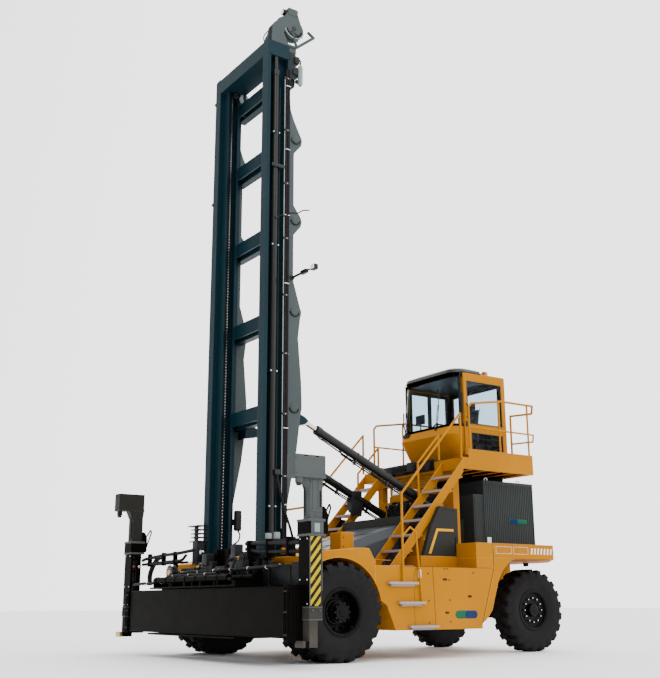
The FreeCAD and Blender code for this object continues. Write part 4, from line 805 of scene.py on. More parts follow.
def make_axle_trim():
    """Brake drums, cover bolts and hoses about the axles, as seen from below."""
    p = Piece("axle_trim", "chassis", "axle_black")
    z, y = WHEEL_Z, 4.53
    for side in (-1, 1):
        out = X * side
        p.lathe((0, .245, .06, .25, .1, .235, .1, .172), out * 1.05 + Z * z, out, 40, close=False)
        p.hose([(side * .3, .2, z + .12), (side * .55, .22, z + .16), (side * .95, .14, z + .15),
                (side * 1.05, .06, z + .24)], .014)
        p.bolts(ring((side * .262, 0, z), Y, Z, .25, circle(14)), out, .013, .012, "cylinder_black")
        p.hose([(side * .36, y + .18, z + .05), (side * .3, y + .26, z + .16),
                (side * .12, y + .2, z + .28)], .012)
        p.lathe((0, .068, .02, .074, .05, .074, .07, .06), (side * .33, y + .167, z), out, 24,
                "cylinder_black", False)
        for up in (-1, 1):
            p.lathe((0, .062, .012, .058, .02, .03, .02, 0), (side * .92, y, z + up * .193), Z * up)
    p.lathe((0, .2, .06, .19, .09, .15, .1, 0), (0, .272, z), Y, 36)
    p.tube([(0, .36, z), (0, .86, z + .1)], .05, 20)
    p.done()


# ---- cab --------------------------------------------------------------------------------
CAB_HALF, CAB_BACK, CAB_FLOOR, CAB_ROOF = .78, 4.64, 3.34, 4.87
CAB_FRONT = ((3.56, 3.28), (3.28, 3.725), (3.36, 3.89), (3.45, 4.87))
CAB_CORNER = .23
POST_FRONT = 3.55
SIDE_WINDOW, REAR_WINDOW = (3.64, 4.53, 3.9, 4.72), (-.63, .63, 3.94, 4.71)


def cab_line(z, out=0, y_end=POST_FRONT):
    """The cab's skin at a height, from the left post round the front to the right one."""
    (y0, z0), (y1, z1) = next((low, high) for low, high in zip(CAB_FRONT, CAB_FRONT[1:])
                              if z <= high[1] or high == CAB_FRONT[-1])
    front = y0 + (y1 - y0) * (z - z0) / (z1 - z0) - out
    half, r = CAB_HALF + out, CAB_CORNER + out
    turn = [math.pi / 2 * k / 7 for k in range(8)]
    left = [(half, y_end)] + [(half - r + r * math.cos(t), front + r - r * math.sin(t)) for t in turn]
    return [Vector((x, y, z)) for x, y in left] + [Vector((-x, y, z)) for x, y in reversed(left)]


def make_cab_seals():
    """Black band under the roof, seals of the windscreen and of the fixed windows, and the wipers."""
    p = Piece("cab_seals", "chassis", "plastic_black")
    p.box(.776, .7835, 3.525, 3.562, 3.87, 4.868, .003)
    p.mirror()
    for heights in ((4.785, 4.82, 4.868), (3.868, 3.885, 3.915)):
        p.grid([cab_line(z, .004) for z in heights], -.006)
    frame_about(p, "x", -CAB_HALF - .003, .01, SIDE_WINDOW, .022)
    frame_about(p, "y", CAB_BACK - .007, .01, REAR_WINDOW, .022)
    p.box(-CAB_HALF - .001, -CAB_HALF + .012, 4.075, 4.1, 3.9, 4.72, .003)
    p.box(-.6, -.44, 3.3, 3.352, 3.8, 3.87, .016)
    p.tube([(-.55, 3.335, 3.86), (-.63, 3.345, 4.06), (-.66, 3.372, 4.3)], .013, 8, 3)
    for x0, lean in ((-.52, -.06), (.3, .05)):
        foot, x1 = Vector((x0, 3.33, 3.845)), x0 + lean
        p.lathe((0, .026, .02, .026, .032, .016, .032, 0), foot + Y * .02, (0, -1, .3), 18)
        for dx in (-.016, .016):
            p.tube([foot + Vector((dx, -.012, 0)), (x0 + dx + lean * .4, 3.342, 3.96), (x1 + dx, 3.37, 4.3)],
                   .006, 8, 3)
        p.tube([(x1, 3.35, 4.02), (x1, 3.376, 4.34), (x1, 3.405, 4.62)], .007, 8)
    p.tube([(.796, 3.515, 4.02), (.835, 3.505, 4.03), (.84, 3.512, 4.26), (.838, 3.522, 4.44),
            (.796, 3.532, 4.45)], .011, 10, 4)
    y = CAB_BACK + .008
    p.tube([(-.2, y - .002, 3.97), (-.02, y, 4.2), (.1, y, 4.42)], .007, 8)
    p.done()


def make_cab_lining():
    """Dark lining of roof, walls and nose, with the dash, display and levers."""
    p = Piece("cab_lining", "chassis", "plastic_black")
    dark = "cover_dark"
    p.prism([v.xy for v in cab_line(4.8, -.047, 4.59)], "z", 4.8, 4.823, .004)
    frame_about(p, "y", 4.582, .012, REAR_WINDOW, .085, material=dark)
    frame_about(p, "x", -.734, .014, SIDE_WINDOW, .045, material=dark)
    frame_about(p, "x", -.758, .036, (3.648, 4.522, 3.908, 4.712), .012, material=dark)
    frame_about(p, "y", 4.583, .034, (-.622, .622, 3.948, 4.702), .012, material=dark)
    p.boxes(.004, dark, (-.715, .715, 4.578, 4.594, 3.345, 3.86), (-.734, -.718, 3.58, 4.575, 3.345, 3.86))
    p.boxes(.006, dark, (-.734, -.714, 4.05, 4.125, 3.86, 4.76), (.708, .733, 3.555, 3.615, 3.345, 4.8),
            (.708, .733, 4.545, 4.585, 3.345, 4.8))
    p.boxes(.003, dark, *((x0, x0 + .046, 3.536, 3.5485, 3.89, 4.81) for x0 in (-.758, .712)))
    for skins, y_end, thickness, material in (
            (((4.806, -.022), (4.803, -.08)), 3.548, .004, dark),
            (((3.9055, -.022), (3.9055, -.055)), 3.548, .003, None),
            (((3.36, -.048), (3.5, -.048), (3.72, -.048), (3.8, -.048), (3.875, -.048)), 3.6, .01, dark),
            (((3.88, -.046), (3.884, -.075), (3.876, -.11), (3.82, -.13)), 3.6, .008, None)):
        p.grid([cab_line(z, out, y_end) for z, out in skins], thickness, material)
    p.prism([(.05, 3.7), (.1, 3.5), (.3, 3.5), (.36, 3.7)], "z", 3.62, 3.9, .02, dark)
    p.tube([(-.46, 3.6, 3.84), (-.46, 3.63, 4.12)], .012)
    p.box(-.58, -.34, 3.6, 3.635, 4.08, 4.26, .01)
    p.box(-.565, -.355, 3.634, 3.638, 4.1, 4.24, .001, "badge_blue")
    for x in (-.31, .31):
        p.box(x - .055, x + .055, 3.86, 4.3, 3.92, 3.975, .018)
        p.box(x - .045, x + .045, 4, 4.22, 3.35, 3.92, .015, dark)
        p.tube([(x, 3.92, 3.97), (x, 3.9, 4.05), (x, 3.905, 4.12)], lambda t: .012 + .01 * t, 12)
    for x in (-.12, .12):
        p.box(x - .045, x + .045, 3.5, 3.56, 3.43, 3.5, .008)
        p.tube([(x, 3.56, 3.45), (x, 3.62, 3.36)], .01, 8, material="cylinder_black")
    p.done()


def make_steering_wheel():
    """Rim, spokes, hub and turning knob on the tilted column, in place of the plain one."""
    p = Piece("steering_wheel", "chassis", "plastic_black")
    centre = Vector((0, 3.78, 3.92))
    normal = Vector((0, .5, .87)).normalized()
    fore = normal.cross(X)
    p.tube(ring(centre, X, fore, .19, circle(40)), .0135, 12, closed=True)
    for tip in ring(centre, X, fore, .182, (math.radians(a) for a in (-90, 30, 150))):
        p.tube([centre - normal * .03, centre - normal * .024 + (tip - centre) * .4, tip], .01, 8, 3)
    p.lathe((-.05, .03, -.03, .055, -.012, .052, -.004, .04, 0, 0), centre, normal)
    knob, = ring(centre, X, fore, .165, (.9,))
    p.tube([knob, knob + normal * .07], lambda t: .014 + .012 * t, 12)
    p.tube([(0, 3.69, CAB_FLOOR + .002), (0, 3.69, 3.6), (0, 3.705, 3.74), centre - normal * .04],
           lambda t: .055 - .02 * t, 20, 4, "cover_dark")
    p.done("steering_console")


def soft_cushion(name, low, high, lean=0, tuft=.018):
    """A stitched foam cushion: full crown, soft edges and shallow seams across it."""
    low, high = Vector(low), Vector(high)
    mid, half = (low + high) / 2, (high - low) / 2
    bm = bmesh.new()
    bmesh.ops.create_cube(bm, size=2)
    bmesh.ops.subdivide_edges(bm, edges=bm.edges[:], cuts=7, use_grid_fill=True)
    flat = min(range(3), key=lambda i: half[i])
    wide, tall = (i for i in range(3) if i != flat)
    for v in bm.verts:
        u = v.co.copy()
        grow = .55 + .45 * (1 - u[wide] ** 4) * (1 - u[tall] ** 4)
        seams = 1 - tuft / half[flat] * sum(math.exp(-((u[tall] - s) * 9) ** 2) for s in (-.33, .33))
        v.co[flat] = mid[flat] + u[flat] * half[flat] * grow * (seams if u[flat] > 0 else 1)
        for i in (wide, tall):
            v.co[i] = mid[i] + u[i] * half[i] * (1 - .05 * abs(u[flat]))
        v.co.y += lean * (v.co.z - low.z)
    for face in bm.faces:
        face.smooth = True
    obj = add_mesh(name, bm, ("seat_fabric",))
    smooth = obj.modifiers.new("soft", "SUBSURF")
    smooth.levels = smooth.render_levels = 2
    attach(obj, "chassis")


def make_seat():
    """Cushion, backrest and headrest on a suspension base with a bellows."""
    p = Piece("seat_base", "chassis", "plastic_black")
    p.prism([(3.97, 3.345), (4.38, 3.345), (4.34, 3.42), (4.01, 3.42)], "x", -.2, .2, .01, "cylinder_black")
    for k, z in enumerate(steps(3.425, .035, 5)):
        x = .19 - .01 * (k % 2)
        p.box(-x, x, 4, 4.36, z, z + .032, .012, "hose_rubber")
    p.box(-.22, .22, 3.97, 4.4, 3.6, 3.655, .012)
    for side in (-1, 1):
        p.tube([(side * .245, 4.36, 3.64), (side * .248, 4.42, 3.74), (side * .246, 4.47, 3.95)], .016, 10, 3,
               "cylinder_black")
    p.done("seat")
    soft_cushion("seat_cushion", (-.25, 3.9, 3.655), (.25, 4.4, 3.785))
    soft_cushion("seat_back", (-.24, 4.335, 3.8), (.24, 4.445, 4.36), .16)
    soft_cushion("seat_headrest", (-.14, 4.435, 4.345), (.14, 4.505, 4.5), .1, 0)


def make_door_trim():
    """Gaskets round the door's panes, its pull handle, the guide blocks and the lower pane's bars."""
    x = Box("cab_door").x1
    p = Piece("door_trim", "cab_door", "plastic_black")
    for opening in ((3.667, 4.483, 3.937, 4.688), (3.747, 4.48, 3.474, 3.743)):
        frame_about(p, "x", x - .004, .007, opening, .02)
    p.tube([(x - .002, 3.62, 4.02), (x + .034, 3.62, 4.04), (x + .034, 3.62, 4.26), (x - .002, 3.62, 4.28)],
           .01, 10, 4)
    p.box(x - .001, x + .01, 3.595, 3.64, 3.86, 3.96, .004)
    for points in (((3.74, 3.555), (4.49, 3.567)), ((3.74, 3.66), (4.49, 3.672))):
        p.tube([(x - .022, *point) for point in points], .007, 8)
    p.tube([(x - .024, 4.23, 3.465), (x - .024, 4.23, 3.752)], .007, 8)
    for points in (((3.585, 3.835), (4.555, 3.835)), ((3.7, 3.37), (3.7, 3.8))):
        p.line(points, "x", x, .004, "orange_shadow")
    p.bolts([(x, y, z) for y in (3.6, 4.53) for z in (3.4, 4.78)], X, .011, .006, "body_orange")
    p.done()


def make_beacon():
    """Amber lamp with its base and a second, smaller lamp beside it, in place of the plain one."""
    box = Box("beacon")
    p = Piece("beacon_lamp", "chassis", "amber")
    p.box(box.x0, box.x1, box.y0, box.y1, CAB_ROOF + .001, CAB_ROOF + .018, .005, "plastic_black")
    centre = Vector((box.middle.x - .012, box.middle.y, CAB_ROOF + .018))
    p.lathe((0, .062, .012, .06, .014, .056, .105, .054, .126, .038, .132, 0), centre, Z, 28)
    p.lathe((-.018, .046, .01, .046, .012, .042, .08, .04, .098, .026, .104, 0),
            centre + Vector((-.15, .03, 0)), Z, 22, "wire_red")
    p.lathe((0, .066, .01, .066, .014, .058, 0, .058), centre, Z, 28, "plastic_black")
    angles = (.6, 2.2, 3.7, 5.3)
    for low, high in zip(ring(centre, X, Y, .062, angles), ring(centre + Z * .118, X, Y, .058, angles)):
        p.tube([low, high, centre + Z * .134], .004, 6, 3, "wire_red")
    p.done("beacon")


def make_roof_trim():
    """Seams of the cap, its rear vent and the roof's gutter."""
    p = Piece("roof_trim", "chassis", "plastic_black")
    p.grid([cab_line(z, .012, 4.03) for z in (4.8722, 4.88)], -.004)
    z = 4.874
    for start, end in (((-.78, 4.06), (.78, 4.06)), ((-.77, 4.62), (.77, 4.62)), ((-.77, 4.06), (-.77, 4.62)),
                       ((.77, 4.06), (.77, 4.62))):
        p.tube([(*start, z), (*end, z)], .008, 8, material="body_orange")
    p.box(.5, .66, 4.11, 4.2, 4.872, 4.93, .02)
    p.done()


FITTINGS = ("steel_bright", "cylinder_black", "brass")


def make_platform_trim():
    """Seams of the toe boards, the underside's ribs, the open grating at the front and the kick plates."""
    plat = Box("platform")
    x, z0, z1 = plat.x1, 3, plat.z1
    p = Piece("platform_trim", "chassis", "body_orange")
    for y in (3.46, 4.05):
        p.line([(y, z0 + .01), (y, z1 - .01)], "x", x, .005, "orange_shadow")
    p.line([(2.98, z1 - .022), (4.63, z1 - .022)], "x", x, .004, "orange_shadow")
    p.bolts([(x - .001, y, z0 + .09) for y in (3.12, 3.38, 3.55, 3.95, 4.15, 4.55)], X, .01, .006, None)
    p.mirror()
    p.boxes(.004, "orange_shadow", *((-1.36, 1.36, y, y + .05, z0 - .012, z0 + .001)
                                     for y in steps(3.16, .32, 5)))
    p.boxes(.005, None, *((x, x + .03, 2.99, 3.026, 2.7, 3.005) for x in (-.64, 0, .61)))
    p.boxes(.004, None, *((-.63, .63, 2.996, 3.022, z, z + .022) for z in (2.7, 2.965)))
    for x in steps(-.625, .0325, 38):
        p.tube([(x, 3.008, 2.71), (x + .035, 3.008, 2.975)], .0055, 6)
    for z in steps(2.735, .042, 6):
        p.tube([(-.63, 3.002, z), (.63, 3.002, z)], .0055, 6)
    p.box(-.645, .12, 2.975, 3.028, 2.585, 2.695, .01)
    # painted shade under the cab's nose: a black slab on the deck and a near-black band over the platform's front
    p.box(-.66, .66, 3.1, 3.48, 3.192, 3.235, .012, "plastic_black")
    p.box(-.72, .66, 2.93, 2.962, 3.045, 3.235, .01, "seam_dark")
    p.boxes(.022, "plastic_black", *((x0, x1, y0, 2.945, a, b) for x0, x1, y0, a, b in (
        (-.66, -.42, 2.86, 3.07, 3.21), (-.36, -.05, 2.88, 3.06, 3.19), (.02, .22, 2.85, 3.08, 3.24),
        (.28, .6, 2.885, 3.05, 3.18))))
    for k, z in enumerate(steps(3.075, .035, 4)):
        p.hose([(-.7, 2.9 - .012 * (k % 2), z), (-.2, 2.85, z + .02), (.25, 2.868, z - .01),
                (.64, 2.905, z + .01)], .012, material=("hose_plum", "hose_rubber")[k % 2])
    p.boxes(.016, "plastic_black", *((x, x + .13, 3.14, 3.4, 3.2, 3.268) for x in (-.5, -.18, .16, .44)))
    tread_plate(p, .84, 1.34, 3.48, 4.62, 3.192, 3.197)
    tread_plate(p, -1.34, -.84, 3.2, 4.62, 3.192, 3.197)
    p.done()


def make_gantry_parts():
    """Valve blocks, plates and hose loops between the tilt cylinders' pins, before the gantry."""
    p = Piece("gantry_parts", "chassis", "plastic_black")
    p.box(-.61, .61, 3, 3.029, 2.22, 2.6, .008, "seam_dark")
    for x0, x1, y0, z0, z1 in ((-.58, -.3, 2.88, 2.25, 2.52), (-.26, -.02, 2.84, 2.3, 2.56),
                               (.04, .3, 2.89, 2.24, 2.46), (.34, .58, 2.86, 2.28, 2.54)):
        p.box(x0, x1, y0, 3.005, z0, z1, .02)
        p.bolts([(x, y0, z) for x in (x0 + .04, x1 - .04) for z in (z0 + .04, z1 - .04)], -Y, .012, .01,
                "cylinder_black")
    for k, x in enumerate(steps(-.54, .125, 9)):
        end = x + .04 + .07 * (-1) ** k
        p.hose([(x, 2.86, 2.5), (x + .01, 2.79, 2.51), (end, 2.77, 2.38 - .02 * (k % 3)), (end, 2.8, 2.26),
                (end + .02, 2.9, 2.235), (end + .02, 3.01, 2.25)], .014 + .003 * (k % 2))
        p.lathe((0, .024, .024, .024, .028, .018, 0, .018), (x, 2.875, 2.5), -Y, 12, FITTINGS[k % 3])
    p.done()


# ---- mast -------------------------------------------------------------------------------
COLUMN_OUT = .927
OUTER_TOP = 9.855
BOSSES = (3.79, 5.371, 6.95, 8.417)
CHAIN_X, CHAIN_Y, CHAIN_LOW, CHAIN_HIGH, CHAIN_PITCH = .583, -.54, .72, 9.74, .05
CHAIN_PLATES = ((-.0085, -.0005, .0075), (-.0125, -.0045, .0035, .0115))


def make_leaf_chains():
    """Two leaf chains of laced plates and pins, with their sheaves and anchors under the head beam."""
    y, low, pitch = CHAIN_Y, CHAIN_LOW, CHAIN_PITCH
    for side, label in ((-1, "right"), (1, "left")):
        mid = side * CHAIN_X
        p = Piece("leaf_chain_" + label, "inner_mast", "chain_steel")
        for k, z in enumerate(steps(low, pitch, int((CHAIN_HIGH - low) / pitch))):
            outline = [(y + .017 * math.cos(a), z + pitch * (math.sin(a) > 0) + .017 * math.sin(a))
                       for a in circle(8, TAU / 16)]
            for x in CHAIN_PLATES[k % 2]:
                p.prism(outline, "x", mid + x - .0016, mid + x + .0016)
            p.tube([(mid - .015, y, z), (mid + .015, y, z)], .006, 6, material="steel_bright")
        centre = Vector((mid, -.47, OUTER_TOP - .06))
        p.lathe((-.015, .06, -.012, .06, -.008, .052, .008, .052, .012, .06, .015, .06,
                 .015, .016, -.015, .016), centre, X, 32)
        p.bolts(ring(centre + X * .015, Y, Z, .036, circle(6)), X, .005, .004)
        p.box(mid - .012, mid + .012, -.488, -.452, OUTER_TOP - .058, OUTER_TOP + .004, .003, "cylinder_black")
        p.tube([(mid, y, low + .01), (mid, y, low - .012)], .009, material="steel_bright")
        p.done("lift_chains")


def make_column_trim():
    """Lift cylinder glands, guide strips, stiffeners and the blocks at the foot of both columns."""
    p = Piece("column_trim", "outer_mast", "mast_slate")
    p.lathe((-.1, .06, -.095, .068, -.01, .068, 0, .055, 0, .045, -.1, .045), (.872, -.5, 9.595), Z,
            28, "cylinder_black")
    for z in (2.2, 4.3, 6.4, 8.4):
        p.box(.775, .925, -.575, -.43, z, z + .05, .006)
        p.bolts([(.925, y, z + .025) for y in (-.555, -.447)], X, .012, .008)
    p.tube([(.872, -.435, .8), (.872, -.42, .86), (.872, -.412, 1.1), (.872, -.412, 9.3)], .012, 10, 3,
           "cylinder_black")
    p.box(.795, .935, -.64, -.36, .62, .72, .01)
    p.bolts([(COLUMN_OUT, y, z) for y in (-.66, -.3) for z in (1.12, 1.42)], X, .016, .012, None)
    p.box(.76, .925, -.238, -.2, 1.12, 1.44, .008)
    for z in BOSSES:
        centre = Vector((.899, -.105, z))
        # the bosses take the lighter slate: painted light of the lit side plates
        p.lathe((0, .058, .006, .056, .008, .03, .008, 0), centre, X, 28, "plate_slate")
        # the dark arc under each boss is a painted shadow cast by the boss
        p.tube(ring(centre - X * .002, Y, Z, .088, steps(math.pi * 1.05, math.pi * .9 / 14, 15)), .007, 6,
               material="seam_dark")
    p.mirror()
    p.done()


def make_mast_hoses():
    """Hoses, a steel pipe and white ties down the near column, in place of the plain pair."""
    p = Piece("mast_hose_bundle", "outer_mast", "hose_rubber")
    x = COLUMN_OUT + .015
    for y, r, material in ((-.318, .013, "hose_plum"), (-.286, .012, None), (-.262, .009, None)):
        p.tube([(x, y, z) for z in (1.5, 3.5, 5.5, 7.5, 9.655)], r, 14, material=material)
        p.lathe((0, r + .005, .04, r + .005, .045, r * .8, 0, r * .8), (x, y, 1.5), Z, 12, "steel_bright")
    p.tube([(x - .002, -.352, 1.9), (x - .002, -.352, 9.5)], .008, material="casting_grey")
    for z in steps(1.7, 7.755 / 8, 9):
        p.box(COLUMN_OUT, COLUMN_OUT + .031, -.362, -.248, z, z + .036, .006, "cylinder_black")
        p.bolts([(COLUMN_OUT + .031, -.302, z + .018)], X, .008, .006)
    p.boxes(.004, "stripe_white", *((COLUMN_OUT + .0005, x + .0155, -.334, -.247, z, z + .012)
                                    for z in steps(2.25, 1.18, 7)))
    p.done("mast_hoses")


def make_mast_lamp_arms():
    """Work lamp on a short arm, the bent rod above it, and the knobs on the far column."""
    p = Piece("mast_lamps", "outer_mast", "mast_slate")
    black, plastic = "cylinder_black", "plastic_black"
    root, tip = Vector((.889, -.16, 5.93)), Vector((1.5, -.105, 5.962))
    arm = tip - root

    def block(low, high, bevel, material):
        (x0, y0, z0), (x1, y1, z1) = low, high
        p.box(x0, x1, y0, y1, z0, z1, bevel, material)

    p.lathe((0, .045, .012, .045, .018, .03, .018, 0), root, X, 20, black)
    p.tube([root, root + arm * .55], .02, 12, material=black)
    margin = Vector((.03, .024, .028))
    block(root + arm * .45 - margin, root + arm * .62 + margin, .008, plastic)
    p.tube([root + arm * .6, tip], .013, 12, material=black)
    block(tip - Vector((.1, .038, .045)), tip + Vector((.022, .038, .04)), .012, plastic)
    block(tip - Vector((.088, .043, .033)), tip + Vector((.012, -.037, .028)), .002, "lamp_white")
    p.tube([(COLUMN_OUT, -.5, 6.9), (.99, -.44, 6.93), (1.05, -.4, 6.895), (1.13, -.34, 6.945),
            (1.22, -.27, 6.915), (1.3, -.22, 6.955), (1.4, -.16, 6.935)], .011, 8, 4, black)
    p.lathe((0, .03, .02, .03, .03, .018, .03, 0), (.925, -.5, 6.9), X, 16, black)
    p.box(.925, .951, -.6, -.34, 7.79, 7.85, .008, black)
    p.hose([(.97, -.46, 2.72), (.978, -.42, 2.52), (.985, -.33, 2.18), (.99, -.23, 1.93),
            (.975, -.16, 1.75), (.92, -.19, 1.62), (.86, -.238, 1.58)], .02, 12, 5)
    p.box(.925, .99, -.5, -.4, 2.7, 2.78, .008, black)
    p.lathe((0, .034, .03, .034, .036, .026, 0, .026), (.86, -.242, 1.58), Y, 16, black)
    p.box(-.745, -.655, -.236, -.125, 1.965, 2.3, .03, plastic)
    p.box(-.8, -.72, -.243, -.215, 2.06, 2.16, .008, plastic)
    p.hose([(-.7, -.17, 1.97), (-.66, -.15, 1.9), (-.69, -.16, 1.8), (-.78, -.225, 1.74)], .013)
    for z in (9.72, 7.73):
        p.lathe((0, .02, .018, .02, .022, .034, .05, .034, .056, .022, .056, 0), (-.925, -.66, z), -X,
                20, black)
    p.done()


def make_head_parts():
    """Shroud, guards, lamp and pulley parts on the head beam."""
    sheave = Vector((.842, -.165, 10.51))
    p = Piece("head_parts", "inner_mast", "mast_slate")
    guard = [(-.62, 10.135), (-.6, 10.3), (-.52, 10.5), (-.4, 10.64), (-.3, 10.71), (-.27, 10.68),
             (-.37, 10.6), (-.47, 10.47), (-.54, 10.29), (-.56, 10.135)]
    p.prism(guard, "x", .655, .758, .006)
    arc = steps(math.pi * 1.08, math.pi * .84 / 20, 21)
    for x, out in ((.76, -X), (.924, X)):
        centre = Vector((x, *sheave.yz))
        for radius, thick, material in ((.188, .012, "casting_grey"), (.158, .016, "seam_dark")):
            p.tube(ring(centre, Y, Z, radius, arc), thick, 8, material=material)
        p.lathe((-.006, .045, 0, .045, .008, .036, .008, 0), centre, out, 20, "cylinder_black")
    p.lathe((0, .05, .03, .056, .075, .052, .08, .04, 0, .04), (.842, -.285, 10.8175), -Y, 24,
            "plastic_black")
    p.lathe((0, .04, .004, .036, .008, 0), (.842, -.362, 10.8175), -Y, 24, "lamp_white")
    p.hose([(.7, -.62, 10.13), (.7, -.66, 10.3), (.71, -.55, 10.46)], .01)
    p.box(-.925, -.8, -.68, -.3, 10.13, 10.165, .006)
    p.box(-.931, -.925, -.63, -.35, 9.885, 10.1, .002)
    p.bolts([(-.931, y, z) for y in (-.59, -.39) for z in (9.93, 10.05)], -X, .014, .01, None)
    p.done()


def make_small_pulley():
    """The pulley at the head beam's other end, with its hanger and the hook below."""
    p = Piece("small_pulley", "inner_mast", "mast_slate")
    hub = Vector((-.56, -.3, 9.76))
    p.lathe((-.02, .095, -.014, .095, -.01, .082, .01, .082, .014, .095, .02, .095, .022, .08,
             .022, .016, -.022, .016), hub, X, 36, "casting_grey")
    p.bolts(ring(hub + X * .022, Y, Z, .055, circle(8)), X, .008, .006)
    p.lathe((0, .026, .008, .024, .01, 0), hub + X * .022, X, 16, "cylinder_black")
    for x in (-.59, -.534):
        p.prism([(-.33, 9.86), (-.27, 9.86), (-.265, 9.72), (-.3, 9.68), (-.335, 9.72)], "x", x, x + .006, .001)
    p.prism([(-.4, 9.62), (-.22, 9.62), (-.25, 9.5), (-.27, 9.42), (-.31, 9.42), (-.34, 9.5)], "x", -.585,
            -.535, .004, "seam_dark")
    p.done()


def make_column_top_parts():
    """Valves, plugs and the capsule lamp behind the near column's top."""
    p = Piece("column_top_parts", "outer_mast", "mast_slate")
    p.boxes(.014, "plastic_black", (.775, .915, -.235, -.135, 9.52, 9.8),
            (.79, .87, -.2, -.11, 9.46, 9.6), (.85, .945, -.19, -.1, 9.62, 9.72),
            (.775, .905, -.24, -.115, 9.77, 10.03), (.8, .94, -.15, -.06, 9.84, 9.97),
            (.79, .88, -.13, -.05, 9.6, 9.8), (.88, .935, -.12, -.06, 9.47, 9.53),
            (.88, .935, -.12, -.06, 9.69, 9.74))
    for z in (9.5, 9.58, 9.66, 9.75):
        p.lathe((0, .02, .022, .02, .026, .014, .05, .014, .05, 0), (.9, -.13, z), (.5, .9, 0), 12,
                "cylinder_black")
    p.tube([(.9, -.14, 9.9), (.935, -.04, 9.93), (.93, -.04, 9.81)], .014, 10, 4, "cylinder_black")
    p.lathe((-.2, 0, -.198, .022, -.175, .038, -.14, .044, .14, .044, .175, .038, .198, .022, .2, 0),
            (.93, -.04, 9.62), Z, 24, "casting_grey")
    p.done()


# ---- spreader ---------------------------------------------------------------------------
# start, end, radius
FRAME_HOSES = (((-.36, -1.3, 1.15), (1.13, -1.3, 1.15), .024),
               ((-.86, -1.06, 1.285), (2.05, -1.06, 1.3), .026),
               ((-.95, -1.01, 1.225), (1.3, -1.01, 1.235), .02),
               ((-2.2, -1.3, 1.13), (-.63, -1.3, 1.14), .022),
               ((-1.02, -1.25, 1.235), (.6, -1.25, 1.24), .018))
# points, radius
END_HOSES = (
    (((-2.57, -1, 1.54), (-2.45, -1, 1.56), (-1.685, -1, 1.6), (-1.3, -1, 1.6), (-.73, -.95, 1.64)),
     .027),
    (((-2.56, -1, 1.47), (-1.1, -1, 1.489), (-1.02, -1, 1.5), (-.94, -.98, 1.57)), .024),
    (((-1.89, -.93, 1.586), (-2.1, -.93, 1.57), (-2.3, -.93, 1.44), (-2.41, -.93, 1.295), (-2.4, -.93, 1.12)),
     .042),
    (((.95, -.95, 1.655), (1.35, -1, 1.64), (1.9, -1, 1.615), (2.55, -1, 1.59)), .03),
    (((.98, -.97, 1.575), (1.4, -1, 1.52), (1.95, -1, 1.495), (2.55, -1, 1.48)), .026),
    (((1.05, -.93, 1.64), (1.4, -.93, 1.66), (1.9, -.93, 1.65), (2.5, -.93, 1.64)), .022))
# (x, z) of the hose ends on the valve blocks
HOSE_ENDS = ((-.44, 1.36), (-.33, 1.4), (-.12, 1.3), (.08, 1.28), (.2, 1.3), (.56, 1.44), (.68, 1.3),
             (.8, 1.46), (.88, 1.26))
TOWER_FRONT, TOWER_BACK = -1.168, -.985
TIE_SPACING = .17


def make_spreader_hoses():
    """Hoses with their ties and wires along the frame, and the brackets behind the front beam."""
    p = Piece("spreader_hoses", "spreader", "spreader_black")
    for start, end, r in FRAME_HOSES:
        start, end = Vector(start), Vector(end)
        run = end - start
        p.hose([start + run * k / 8 + Z * .006 * math.sin(k * 2.1 + start.x) for k in range(9)], r, 14, 0)
        ties = int(run.length / TIE_SPACING)
        for k in range(1, ties):
            colour = ("stripe_white", "wire_green", "hose_rubber")[(k + int(start.x * 7)) % 3]
            p.lathe((0, r + .003, .012, r + .003, .012, r - .004, 0, r - .004), start + run * k / ties, X, 14,
                    colour)
    for x in (-.8, -.3, .22, .75, 1.22):
        p.box(x, x + .05, -1.34, -.985, 1.055, 1.075, .004)
        p.boxes(.006, None, (x, x + .05, -1.085, -1.035, 1.065, 1.275), (x, x + .05, -1.335, -1.27, 1.065, 1.13))
    p.done()


def make_valve_bank(p):
    """Valves with their plugs, and the reel beside them."""
    p.box(-1.05, -.55, -1, -.885, 1.07, 1.34, .015, "plastic_black")
    for k, x in enumerate(steps(-1, .08, 6)):
        p.box(x, x + .045, -1.03, -.995, 1.18, 1.36, .006, "cylinder_black")
        p.lathe((0, .013, .03, .013, .035, 0), (x + .022, -1.03, 1.3), -Y, 10, ("steel_bright", "brass")[k % 2])
    reel = Vector((-1.19, -1.1, 1.3))
    p.lathe((-.05, .115, -.04, .118, -.032, .1, .032, .1, .04, .118, .05, .115, .052, .03,
             -.052, .03), reel, Y, 36, "cylinder_black")
    p.lathe((0, .045, .01, .042, .014, 0), reel - Y * .052, -Y, 20, "brass")
    p.bolts(ring(reel - Y * .052, X, Z, .075, circle(6)), -Y, .008, .006)


